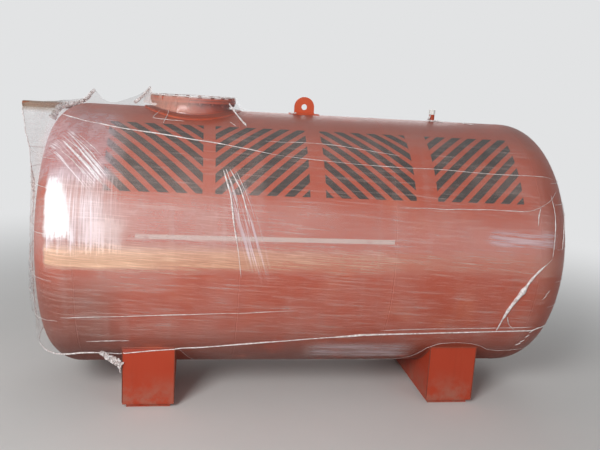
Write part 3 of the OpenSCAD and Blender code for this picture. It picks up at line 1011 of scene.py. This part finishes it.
def clearFilm():
    material, book = newMaterial("clearFilm")
    place, along, girth, split = tankPlaces(book)
    lift = book.add("ShaderNodeAttribute", {"attribute_name": "lift"}).out("Fac")
    up = split.out("Z") - tank["axis"]
    side = split.out("Y")
    front = side.rise(0.10, -0.10)
    end = along.calc("ABSOLUTE").rise(*milk["flatEnds"])
    face = front * (1 - end)
    cloud = book.noise(place, 2.3, 4.0, 0.55)
    crumple = book.noise(place, 16.0, 5.0, 0.65, 0.6)

    def streaks(onShell, onEnd, rough, twist):
        shell = book.noise(book.vector(*onShell), 1.0, 4.0, rough, twist)
        return shell + (book.noise(book.vector(*onEnd), 1.0, 4.0, rough, twist) - shell) * end

    upright = streaks((along * 78.0, girth * 2.0, 0.0), (side * 15.0, up * 2.5, 4.0), 0.6, 0.15)
    tall = streaks((along * 9.0, girth * 0.7, 3.0), (side * 5.0, up * 1.4, 5.0), 0.5, 0.0)
    level = streaks((along * 2.4, girth * 46.0 + along * 2.5, front),
                    (side * 2.4, up * 40.0 + side * 4.0, 8.0), 0.62, 0.3)
    fineLevel = streaks((along * 4.5, girth * 130.0 + along * 8.0, front + 5),
                        (side * 4.5, up * 120.0 - side * 14.0, 9.0), 0.6, 0.2)
    acrossSlant, alongSlant = along * 0.770 + girth * 0.638, along * 0.638 - girth * 0.770
    slanted = book.noise(book.vector(acrossSlant * 90.0, alongSlant * 2.4, 0.0), 1.0, 3.0, 0.55)
    leaning = book.noise(book.vector((along + girth * 0.30) * 85.0, girth * 2.4, 7.0), 1.0, 3.0, 0.55)
    ragged = girth + (crumple - 0.5) * 0.14 + (upright - 0.5) * 0.20

    def within(wire, limits):
        return wire.band(*limits) if len(limits) == 3 else wire.rise(*limits)

    def spot(name, alongIt, roundIt):
        return within(alongIt, milk[name]["along"]) * within(roundIt, milk[name]["round"]) * face

    # Painted glare on the left knuckle, painted reflection streaks beside it, the painted sheen band below
    # it, and the smaller patches
    inEdge = (along + (crumple - 0.5) * 0.03).rise(*milk["leftEdge"])
    glare = spot("glare", along + girth * 0.21, ragged) * inEdge
    glareTail = spot("glareTail", along, ragged) * inEdge * (0.26 + upright.rise(0.42, 0.66) * 0.50)
    lilac = spot("lilac", along, girth) * girth.rise(1.40, 1.05)
    slants = spot("slants", acrossSlant, alongSlant) * slanted.rise(0.48, 0.62)
    sheenBand = along.rise(*milk["sheenBand"]["along"]) * 0.7 + 0.3
    sheenBand = sheenBand * (girth + (level - 0.5) * 0.1).band(*milk["sheenBand"]["round"]) * face * inEdge
    sheenBandLow = spot("sheenBandLow", along, girth)
    bundle = spot("bundle", along + girth * 0.30, ragged) * leaning.rise(0.46, 0.60)
    patch = spot("patch", along, girth + (level - 0.5) * 0.05) * level.rise(0.36, 0.56)
    middle = girth.band(*milk["middleRound"]) * face * (0.08 + along.rise(1.2, -1.3) * 0.12)
    lowGlow = spot("lowGlow", along - girth * 0.2, ragged)
    belly = spot("belly", along, girth + (level - 0.5) * 0.12) * (0.45 + level.rise(0.40, 0.62) * 0.55)
    onPipe = along.rise(*milk["gaugePipe"]["along"]) * split.out("Z").rise(*milk["gaugePipe"]["up"])
    offManway = along - (tank["manwayX"] - tank["middle"])
    away = (offManway * offManway + side * side).calc("SQRT")
    # Film standing round the manway's neck is milky; its whiter left half is a painted glare
    wallGlarePlace = milk["manwayWallGlare"]
    wall = away.band(*wallGlarePlace["away"]) * lift.rise(*wallGlarePlace["lift"]) * offManway.rise(*wallGlarePlace["left"])
    wall = wall * front

    lines = level.rise(0.50, 0.72) * 0.15 + fineLevel.rise(0.48, 0.72) * 0.13
    lines = lines * (1 + girth.rise(0.05, -0.15) * 0.4) * girth.rise(1.35, 0.85).calc("MAXIMUM", end)
    haze = milk["base"] + along.rise(0.9, -0.9) * 0.035 + girth.rise(0.45, 0.60) * 0.02
    haze = haze + cloud.rise(0.38, 0.75) * 0.10 + lines + tall.rise(0.52, 0.75) * 0.07 + middle
    # Less haze on top, at the right end and low down, so these parts show darker: painted shade
    lessMilkShade = girth.rise(0.85, 1.25).calc("MAXIMUM", along.rise(1.50, 1.72))  # on top, at the right end, below
    lessMilkShade = lessMilkShade.calc("MAXIMUM", girth.rise(-0.50, -0.70) * 1.1)
    lessMilkShade = lessMilkShade + (0.25 - lessMilkShade) * end
    haze = haze * (1 - lessMilkShade * milk["lessMilkShadeShare"])
    haze = haze + sheenBand * (0.24 + along.rise(-0.7, -1.3) * 0.20 + fineLevel.rise(0.4, 0.7) * 0.16)
    haze = haze + lilac * (0.14 + crumple.rise(0.4, 0.65) * 0.16)
    haze = haze + crumple.rise(0.62, 0.78) * 0.04 + end * tall.rise(0.48, 0.62) * 0.05
    plainSpots = {"glare": glare, "glareTail": glareTail, "slants": slants, "bundle": bundle, "patch": patch,
                  "gaugePipe": onPipe, "manwayWallGlare": wall, "sheenBandLow": sheenBandLow, "belly": belly,
                  "lowGlow": lowGlow}
    for name, mask in plainSpots.items():
        haze = haze + mask * milk[name]["amount"]
    haze = haze.rise(0.0, 1.0, "LINEAR")

    normal = book.bump(upright * 0.6 + level + crumple, 0.35, 0.0022)
    cool = (lilac + patch + bundle + glareTail + belly + middle * 1.2).calc("MINIMUM", 1.0)
    bright = (glare + slants * 0.7 + lift.rise(0.02, 0.06)).calc("MINIMUM", 1.0)
    # The film's white: warmer in the painted sheen band, whitest in the painted glare
    milky = book.blend(tint(238, 200, 184), tint(244, 222, 218), crumple)
    milky = book.blend(milky, tint(255, 208, 168), sheenBand * 0.85)
    milky = book.blend(milky, tint(230, 212, 222), cool * 0.8)
    milky = book.blend(milky, tint(248, 248, 250), bright)
    milky = book.blend(milky, tint(238, 186, 168), wall)
    milky = book.blend(milky, tint(178, 156, 136), onPipe)
    white = book.surface(milky, 0.45 + crumple * 0.15, normal)
    clear = book.add("ShaderNodeBsdfTransparent", None, {"Color": (0.97, 0.97, 0.97, 1.0)})
    shine = book.surface(tint(250, 250, 252), 0.16 + crumple * 0.2, normal, Metallic=1.0)
    fresnel = book.add("ShaderNodeFresnel", None, {"IOR": 1.45, "Normal": normal})
    both = book.mixShader(fresnel / (1 + fresnel * 14), book.mixShader(haze, clear, white), shine)
    return finishMaterial(material, book, both)


# Film rolled or gathered tight: milky, with a wet shine
def foldedFilm():
    material, book = newMaterial("foldedFilm")
    place = book.add("ShaderNodeTexCoord").out("Object")
    crumple = book.noise(place, 48.0, 5.0, 0.65, 0.8)
    fine = book.noise(place, 210.0, 3.0, 0.6)
    colour = book.blend(tint(228, 214, 210), tint(250, 248, 248), crumple.rise(0.35, 0.65))
    normal = book.bump(crumple + fine * 0.4, 0.5, 0.003)
    shader = book.surface(colour, 0.22 + fine * 0.25, normal, Alpha=crumple.rise(0.25, 0.6) * 0.38 + 0.58)
    return finishMaterial(material, book, shader)


filmPaint = clearFilm()
filmFold = foldedFilm()


# A point of the finished film at a place along the tank and an angle above the front
def filmPoint(along, degrees, lift=0.0):
    ways, angles = film["ways"], film["angles"]
    way = float(np.interp(along, film["fineAlong"], film["fineWay"]))
    i = int(np.clip(np.searchsorted(ways, way) - 1, 0, len(ways) - 2))
    share = (way - ways[i]) / (ways[i + 1] - ways[i])
    point = 0
    for column, part in ((i, 1 - share), (i + 1, share)):
        row = np.interp(math.radians(degrees), angles[column], np.arange(angles.shape[1]))
        j = int(min(row, angles.shape[1] - 2))
        near = film["place"][column, j] * (1 - (row - j)) + film["place"][column, j + 1] * (row - j)
        point = point + (near + film["out"][column, j] * lift) * part
    return point


film["fineWay"] = np.linspace(0, shape["whole"], 6000)
film["fineAlong"], film["fineRadius"] = outlineAt(film["fineWay"])[:2]


# Rolled edges and tight folds of the film, and short white strokes of film that stand for glints (painted
# highlights): where each runs, as along the tank and degrees above the front, and how thick it is at its
# start, middle and end
rolls = {
    "main": (((-1.705, 69.0), (-1.660, 65.9), (-1.569, 63.1), (-1.482, 61.8), (-1.316, 59.0), (-1.053, 56.2),
              (-0.855, 53.9), (-0.623, 51.5), (-0.390, 48.4), (-0.230, 46.5)), (0.0030, 0.0040, 0.0016)),
    "mainEnd": (((-0.230, 46.5), (-0.082, 45.8), (0.219, 44.1), (0.567, 43.2), (0.924, 42.7), (1.214, 41.7),
                 (1.690, 41.5)), (0.0014, 0.0016, 0.0018)),
    "upper": (((-0.352, 54.4), (-0.111, 54.7), (0.112, 54.3), (0.333, 52.0), (0.583, 49.4)),
              (0.0008, 0.0015, 0.0008)),
    "right": (((0.539, 24.9), (1.168, 25.3), (1.535, 26.6), (1.631, 30.2), (1.698, 35.3)),
              (0.0012, 0.0024, 0.0012)),
    "rightFold": (((1.629, 5.3), (1.527, -0.7), (1.430, -10.3), (1.376, -17.2), (1.350, -24.4),
                   (1.341, -30.0)), (0.0012, 0.0150, 0.0024)),
    "rightFork": (((1.384, -21.5), (1.418, -26.0), (1.470, -29.0)), (0.0030, 0.0022, 0.0010)),
    "rightUpright": (((1.640, 33.0), (1.655, 25.0), (1.645, 14.0), (1.632, 6.0)), (0.0012, 0.0030, 0.0014)),
    "rightUprightB": (((1.550, 26.8), (1.529, 23.3), (1.521, 19.1)), (0.0010, 0.0034, 0.0012)),
    # a white line of film down the right end's outline: a painted highlight
    "rightRimGlint": (((1.792, 33.0), (1.780, 27.4), (1.745, 18.2), (1.722, 9.3)), (0.0014, 0.0042, 0.0014)),
    "lowRight": (((0.488, -29.8), (0.820, -29.0), (1.168, -28.4), (1.600, -27.6)), (0.0010, 0.0018, 0.0014)),
    "low": (((-1.635, -23.3), (-1.268, -22.5), (-0.887, -21.4), (-0.320, -19.7), (-0.120, -18.8)),
            (0.0014, 0.0022, 0.0012)),
    "lowLeft": (((-1.50, -38.0), (-1.36, -37.4), (-1.22, -37.1)), (0.0008, 0.0026, 0.0008)),
    "slantA": (((-1.668, 50.9), (-1.572, 44.0), (-1.456, 35.8), (-1.382, 30.1)), (0.0012, 0.0048, 0.0014)),
    "slantB": (((-1.629, 50.3), (-1.530, 44.2), (-1.406, 35.5)), (0.0012, 0.0040, 0.0012)),
    "slantC": (((-1.602, 52.4), (-1.496, 45.8), (-1.405, 38.6)), (0.0010, 0.0034, 0.0010)),
    "slantD": (((-1.669, 45.6), (-1.584, 40.3), (-1.495, 34.0)), (0.0010, 0.0036, 0.0012)),
    "slantE": (((-1.573, 53.7), (-1.474, 47.4), (-1.404, 42.7)), (0.0008, 0.0022, 0.0008)),
    "streakA": (((-0.633, 38.3), (-0.610, 33.2), (-0.590, 28.7), (-0.562, 16.5), (-0.532, 6.6),
                 (-0.505, -4.5)), (0.0056, 0.0050, 0.0008)),
    "streakB": (((-0.591, 39.1), (-0.552, 34.2), (-0.520, 30.1), (-0.487, 22.9), (-0.459, 15.7)),
                (0.0030, 0.0042, 0.0010)),
    "streakC": (((-0.617, 39.0), (-0.578, 31.6), (-0.551, 25.9), (-0.524, 17.3)), (0.0026, 0.0034, 0.0008)),
    "streakD": (((-0.552, 38.2), (-0.507, 31.8), (-0.461, 24.5)), (0.0010, 0.0022, 0.0008)),
    "neckA": (((-1.075, 75.8), (-1.112, 69.0)), (0.0014, 0.0024, 0.0014)),
    "neckB": (((-1.009, 74.5), (-1.038, 63.8)), (0.0014, 0.0026, 0.0014)),
    "neckFoot": (((-1.114, 68.4), (-1.040, 67.4), (-0.960, 67.0), (-0.900, 66.7)), (0.0014, 0.0020, 0.0008)),
    "neckRight": (((-0.512, 71.5), (-0.490, 68.0), (-0.470, 64.8)), (0.0040, 0.0046, 0.0022)),
    "neckRightLow": (((-0.585, 68.0), (-0.545, 64.5)), (0.0014, 0.0022, 0.0010)),
    # short white strokes at the lower right and the right end: painted glints
    "glintA": (((1.600, -31.2), (1.618, -30.2), (1.632, -29.6)), (0.0010, 0.0030, 0.0010)),
    "glintB": (((1.588, -34.6), (1.606, -33.4), (1.618, -32.8)), (0.0010, 0.0034, 0.0010)),
    "glintC": (((1.570, -38.4), (1.590, -37.2), (1.602, -36.4)), (0.0012, 0.0044, 0.0012)),
    "glintD": (((1.556, -41.0), (1.572, -40.0), (1.588, -39.2)), (0.0010, 0.0036, 0.0010)),
    "glintE": (((1.620, -10.6), (1.640, -9.2), (1.652, -8.2)), (0.0008, 0.0024, 0.0008)),
    "glintF": (((1.600, -12.6), (1.622, -11.2), (1.636, -10.2)), (0.0008, 0.0020, 0.0008)),
    "rightTop": (((1.225, 86.6), (1.262, 84.0), (1.300, 81.8)), (0.0012, 0.0030, 0.0012)),
}
backRolls = ("main", "mainEnd", "upper", "right", "lowRight", "low")  # the back has these too, turned round
endLines = {  # lines across both ends: how far above the axis they leave the front and reach the back
    -1: ((0.62, 0.55), (0.44, 0.47), (0.17, 0.10), (-0.12, -0.05), (-0.40, -0.46)),
    1: ((0.58, 0.61), (0.45, 0.40), (0.15, 0.20), (-0.08, -0.17), (-0.27, -0.25)),
}


rollLook = {
    "lift": 0.0006,  # of its middle above the film
    "least": 0.0005,
    "rope": 0.0042,
    "ropeEnds": 1.62,
    "lowerEdge": 0.0011,
    "endLine": 0.0019,
    "fin": 0.0030,
    "finWay": 0.83,  # how far over the left end the fin's fold goes
    "rim": 0.0030,
    "endReach": 0.92,  # from the middle of an end to where its lines start
    "backAlong": 0.96,
}


def spline(points, step=0.012):  # smooth path through the points
    stops = np.array(points, float)
    chord = np.linalg.norm(np.diff(stops * (1, 0.0166), axis=0), axis=1)  # a degree is about 0.0166 m
    chord = np.concatenate(([0], np.cumsum(chord)))
    fine = np.linspace(0, chord[-1], max(int(chord[-1] / step), 6))
    slopes = np.gradient(stops, chord, axis=0)
    k = np.clip(np.searchsorted(chord, fine, side="right") - 1, 0, len(chord) - 2)
    span = chord[k + 1] - chord[k]
    t = ((fine - chord[k]) / span)[:, None]
    rise = 3 * t ** 2 - 2 * t ** 3
    ahead, behind = slopes[k] * span[:, None], slopes[k + 1] * span[:, None]
    bend = (t ** 3 - 2 * t ** 2 + t) * ahead + (t ** 3 - t ** 2) * behind
    return stops[k] * (1 - rise) + stops[k + 1] * rise + bend


def acrossEnd(side, frontUp, backUp, ends=(-1, 1)):  # a line over an end from front to back, on the film
    points = []
    half = rollLook["endReach"]
    widest = np.argmax(film["fineRadius"] > tank["radius"] - 0.0005)
    radii, outs = film["fineRadius"][:widest], -film["fineAlong"][:widest]
    for y in np.linspace(ends[0] * half, ends[1] * half, 150):
        up = frontUp + (backUp - frontUp) * (y / half + 1) / 2
        away = math.hypot(y, up)
        if away < tank["radius"] - 0.010:
            degrees = math.degrees(math.atan2(up, -y))
            degrees += 360 * (degrees < -90)
            points.append(filmPoint(side * np.interp(away, radii, outs), degrees, rollLook["lift"]))
    return points


def ropePath(way):  # the roped line low on the front, or with -1 on the back, and half across both ends
    along = np.linspace(-rollLook["ropeEnds"], rollLook["ropeEnds"], 330)
    radius = np.interp(along, film["fineAlong"], film["fineRadius"])
    low = np.degrees(hemAngle(along, radius, "rope"))
    points = [filmPoint(a, -d if way > 0 else 180 + d, rollLook["lift"]) for a, d in zip(along, low)]
    for side in (-1, 1):
        up = filmWrap["rope"][0 if side < 0 else -1][1] - tank["axis"]
        half = acrossEnd(side, up, up, (-way, 0))
        points = half[::-1] + points if side < 0 else points + half
    return points


def addRolls():
    paths = []

    def uneven(size, part, across, down, seed, depth, ends=((0, 1), (1, 1)), least=rollLook["least"]):
        thick = size * (1 + depth * wander(part * across, part * down, seed))
        return np.maximum(thick * np.interp(part, *ends), least)

    def run(points):
        return np.linspace(0, 1, len(points))

    back = [([(-a * rollLook["backAlong"], 180 - d) for a, d in rolls[name][0]], rolls[name][1])
            for name in backRolls]
    for number, (stops, sizes) in enumerate([*rolls.values(), *back]):
        line = spline(stops)
        part = run(line)
        sway = np.degrees(0.0025 * wander(part * 22, part * 2, 90 + number))
        points = [filmPoint(a, d + s, rollLook["lift"]) for (a, d), s in zip(line, sway)]
        size = np.interp(part, (0, 0.5, 1), sizes)
        thick = uneven(size, part, 30, 3, 60 + number, 0.35, ((0, 0.05, 0.95, 1), (0.25, 1, 1, 0.25)))
        paths.append((points, thick, False))
    for way, row, seed in ((1, 0, 5), (-1, -1, 6)):  # the roped line and the lower edge, front and back
        points = ropePath(way)
        ends = ((0, 0.5, 1), (0.9, 1.2, 0.6))
        thick = uneven(rollLook["rope"], run(points), 60, 8, seed, 0.45, ends, 0.0012)
        paths.append((points, thick, False))
        hemmed = np.flatnonzero(film["hem"] < math.pi / 2 - 1e-6)
        points = film["place"][np.append(hemmed, hemmed[-1] + 1), row]
        thick = uneven(rollLook["lowerEdge"], run(points), 50, 0, seed + 40, 0.5, least=0.0006)
        paths.append((points, thick, False))
    for side, lines in endLines.items():
        for number, (frontUp, backUp) in enumerate(lines):
            points = acrossEnd(side, frontUp, backUp)
            ends = ((0, 0.06, 0.94, 1), (0.3, 1, 1, 0.3))
            thick = uneven(rollLook["endLine"], run(points), 24, 3, 120 + number * 2 + side, 0.6, ends)
            paths.append((points, thick, False))
    columns = np.flatnonzero(film["ways"] < rollLook["finWay"])
    points = film["place"][columns, film["angles"].shape[1] // 2]
    paths.append((points, uneven(rollLook["fin"], run(points), 40, 0, 8, 0.5, least=0.0008), False))
    turns = fullTurn(160)  # round the rim of the manway
    reach = tank["flangeRadius"] + filmWrap["gap"]
    points = [(tank["manwayX"] + reach * math.cos(t), reach * math.sin(t), film["rimTop"]) for t in turns]
    thick = rollLook["rim"] * (1 + 0.2 * wander(np.cos(turns) * 6, np.sin(turns) * 6, 12))
    paths.append((points, np.maximum(thick, 0.0010), True))
    folded = runTree("film_rolled_edges", beadTree, pathMesh("rollPaths", paths),
                     {"Sides": 6, "Unevenness": 0.9, "Grain": 55.0, "Material": filmFold})
    return attach(folded)


# Crumpled film: the path of each bunch, as along, across and up, how wide it is at both ends, and how many
# ribbons it has
bunches = {
    "headRidge": (((-1.830, -0.070, 1.930), (-1.806, -0.065, 1.978), (-1.782, -0.055, 2.014),
                   (-1.730, -0.040, 2.036), (-1.660, -0.030, 2.050), (-1.620, -0.020, 2.068),
                   (-1.590, -0.010, 2.092), (-1.573, 0.000, 2.122), (-1.545, 0.000, 2.147)),
                  (0.046, 0.020), 6),
    "rimFold": (((-1.262, -0.020, 2.070), (-1.225, -0.015, 2.104), (-1.180, -0.010, 2.152),
                 (-1.152, 0.000, 2.190)), (0.026, 0.016), 4),
    # white bunches down the edge of the left fin: a painted glint
    "leftGlintTop": (((-1.996, -0.004, 1.600), (-1.991, -0.004, 1.530), (-1.984, -0.004, 1.460)),
                     (0.010, 0.030), 3),
    "leftGlintLow": (((-1.984, -0.004, 1.462), (-1.982, -0.004, 1.400), (-1.978, -0.004, 1.335)),
                     (0.030, 0.008), 3),
    "rimTop": (((-1.152, -0.010, 2.186), (-1.140, -0.040, 2.140), (-1.100, -0.110, 2.142),
                (-1.070, -0.150, 2.142)), (0.012, 0.018), 2),
    "saddleSide": (((-1.420, -0.655, 0.402), (-1.370, -0.672, 0.372), (-1.320, -0.684, 0.350),
                    (-1.275, -0.692, 0.318)), (0.030, 0.052), 5),
    "saddleTail": (((-1.300, -0.690, 0.345), (-1.288, -0.692, 0.300), (-1.284, -0.690, 0.262)),
                   (0.022, 0.006), 2),
    "ventFoot": (((0.965, -0.045, 2.054), (0.995, -0.062, 2.053), (1.035, -0.050, 2.052),
                  (1.062, -0.090, 2.050)), (0.020, 0.012), 3),
    "ventSide": (((0.972, -0.010, 2.060), (0.978, -0.026, 2.080), (0.984, -0.024, 2.098)),
                 (0.020, 0.008), 2),
    "neckCrease": (((-0.592, -0.165, 2.112), (-0.550, -0.240, 2.056), (-0.508, -0.312, 2.004),
                    (-0.474, -0.395, 1.970)), (0.014, 0.012), 3),
    "lugFoot": (((-0.120, -0.050, 2.054), (-0.098, -0.056, 2.058), (-0.076, -0.052, 2.060)),
                (0.014, 0.010), 2),
    "topCurl": (((1.222, -0.060, 2.052), (1.262, -0.098, 2.049), (1.300, -0.132, 2.044)),
                (0.008, 0.008), 1),
}
ribbon = {"step": 0.006, "lanes": 7, "turn": 0.35, "crease": 0.20, "fold": 0.28, "firstSeed": 201}


def crumpled(path, widths, seed):  # one creased ribbon of film along the path
    rng = np.random.default_rng(seed)
    stops = np.array(path, float)
    chord = np.concatenate(([0], np.cumsum(np.linalg.norm(np.diff(stops, axis=0), axis=1))))
    steps = max(int(chord[-1] / ribbon["step"]), 6)
    fine = np.linspace(0, chord[-1], steps)
    line = np.stack([np.interp(fine, chord, stops[:, k]) for k in range(3)], axis=1)
    width = np.interp(fine, (0, chord[-1]), widths)[:, None, None]
    lanes, most = ribbon["lanes"], ribbon["turn"]
    turn = rng.uniform(0, math.pi) + np.cumsum(rng.uniform(-most, most, steps))
    ahead = np.gradient(line, axis=0)
    ahead /= np.linalg.norm(ahead, axis=1)[:, None]
    sideways = np.cross(ahead, (0.3, -0.9, 0.3))
    sideways /= np.linalg.norm(sideways, axis=1)[:, None]
    across = sideways * np.cos(turn)[:, None] + np.cross(ahead, sideways) * np.sin(turn)[:, None]
    spread = np.linspace(-0.5, 0.5, lanes)[None, :, None]
    crease = rng.uniform(-ribbon["crease"], ribbon["crease"], (steps, lanes, 3))
    fold = rng.uniform(-ribbon["fold"], ribbon["fold"], (steps, lanes))[:, :, None]
    points = line[:, None, :] + across[:, None, :] * (spread + crease) * width
    return points + np.cross(ahead, across)[:, None, :] * fold * width


def addObject(name, mesh, material):
    mesh.materials.append(material)
    added = bpy.data.objects.new(name, mesh)
    bpy.context.scene.collection.objects.link(added)
    return added


def addBunches():
    bm = bmesh.new()
    seed = ribbon["firstSeed"]
    for path, widths, count in bunches.values():
        for layer in range(count):
            points = crumpled(path, widths, seed)
            seed += 1
            grid = [[bm.verts.new((p[0] + tank["middle"], p[1], p[2])) for p in row] for row in points]
            for near, far in zip(grid[:-1], grid[1:]):
                for corners in zip(near[:-1], far[:-1], far[1:], near[1:]):
                    bm.faces.new(corners)
    bmesh.ops.recalc_face_normals(bm, faces=bm.faces)
    mesh = bpy.data.meshes.new("film_bunches")
    bm.to_mesh(mesh)
    bm.free()
    return attach(addObject("film_bunches", mesh, filmFold))


def addFilm():
    membrane = addObject("film_membrane", filmMesh(), filmPaint)
    attach(membrane,
           ("film_over_shell", "film_over_right_head", "film_tent_left", "film_over_manway"))
    folded, gathered = addRolls(), addBunches()


addFilm()
print("film placed")


# Camera where the photograph was taken
viewPoint = {"place": (-0.822, -5.164, 2.235), "yaw": 0.160, "pitch": -0.197, "roll": 0.059, "lens": 40.71}


def addCamera():
    yaw, pitch, roll = viewPoint["yaw"], viewPoint["pitch"], viewPoint["roll"]
    right = Vector((math.cos(yaw), -math.sin(yaw), 0))
    up = Vector((-math.sin(pitch) * math.sin(yaw), -math.sin(pitch) * math.cos(yaw), math.cos(pitch)))
    ahead = Vector((math.sin(yaw) * math.cos(pitch), math.cos(yaw) * math.cos(pitch), math.sin(pitch)))
    acrossView = right * math.cos(roll) + up * math.sin(roll)
    upView = up * math.cos(roll) - right * math.sin(roll)
    turn = Matrix((acrossView, upView, -ahead)).transposed().to_4x4()
    lens = bpy.data.cameras.new("camera")
    lens.lens = viewPoint["lens"]
    lens.sensor_width = 36
    lens.sensor_fit = "HORIZONTAL"
    camera = bpy.data.objects.new("camera", lens)
    spot = Vector(viewPoint["place"]) + Vector((tank["middle"], 0, 0))
    camera.matrix_world = Matrix.Translation(spot) @ turn
    bpy.context.scene.collection.objects.link(camera)
    bpy.context.scene.camera = camera


addCamera()


# Pale floor that fades into a pale backdrop, and three lamps
room = {
    "pale": tint(226, 227, 228),
    "floorDark": tint(214, 214, 212),
    "floorPale": tint(224, 223, 221),
    "fade": (2.2, 7.5),  # metres from the middle
    "half": 40.0,
    "shade": tint(222, 224, 226),  # what lights the tank from all round
    "shadeStrength": 0.27,
    "lamps": {
        "keyLamp": {"place": (-4.4, -6.8, 4.9), "size": (3.0, 3.0), "power": 510},
        "fillLamp": {"place": (4.5, -7.0, 2.6), "size": (4.0, 3.0), "power": 72},
        "backLamp": {"place": (1.5, 7.0, 4.0), "size": (5.0, 3.0), "power": 120},
    },
}


def addFloor():
    material, book = newMaterial("paleFloor")
    place = book.add("ShaderNodeTexCoord").out("Object")
    split = book.add("ShaderNodeSeparateXYZ", None, {0: place})
    cloud = book.noise(place, 0.8, 4.0, 0.6)
    colour = book.blend(room["floorDark"], room["floorPale"], cloud)
    shader = book.add("ShaderNodeBsdfPrincipled", None,
                      {"Base Color": colour, "Roughness": 0.8 + cloud * 0.1})
    away = (split.out("X") * split.out("X") + split.out("Y") * split.out("Y")).calc("SQRT")
    glow = book.add("ShaderNodeEmission", None, {"Color": room["pale"], "Strength": 1.0})
    faded = away.rise(*room["fade"]) * book.seenDirectly()
    finishMaterial(material, book, book.mixShader(faded, shader, glow))
    mesh = bpy.data.meshes.new("floor")
    half = room["half"]
    mesh.from_pydata([(-half, -half, 0), (half, -half, 0), (half, half, 0), (-half, half, 0)], [],
                     [(0, 1, 2, 3)])
    floor = addObject("floor", mesh, material)


def addLamp(name, lampPlace, size, power):
    lamp = bpy.data.lights.new(name, "AREA")
    lamp.shape = "RECTANGLE"
    lamp.size, lamp.size_y = size
    lamp.energy = power
    holder = bpy.data.objects.new(name, lamp)
    aim = Vector((tank["middle"], 0, tank["axis"])) - Vector(lampPlace)
    turn = aim.to_track_quat("-Z", "Y").to_matrix().to_4x4()
    holder.matrix_world = Matrix.Translation(Vector(lampPlace)) @ turn
    bpy.context.scene.collection.objects.link(holder)


def addLight():
    world = bpy.data.worlds.new("studio")
    world.use_nodes = True
    world.node_tree.nodes.clear()
    book = Book(world.node_tree)
    shade = book.add("ShaderNodeBackground", None,
                     {"Color": room["shade"], "Strength": room["shadeStrength"]})
    pale = book.add("ShaderNodeBackground", None, {"Color": room["pale"], "Strength": 1.0})
    both = book.mixShader(book.seenDirectly(), shade, pale)
    book.add("ShaderNodeOutputWorld", None, {"Surface": both})
    bpy.context.scene.world = world
    for name, lamp in room["lamps"].items():
        addLamp(name, lamp["place"], lamp["size"], lamp["power"])


addFloor()
addLight()
bpy.context.scene.view_settings.view_transform = "Standard"
print("camera, floor and light")
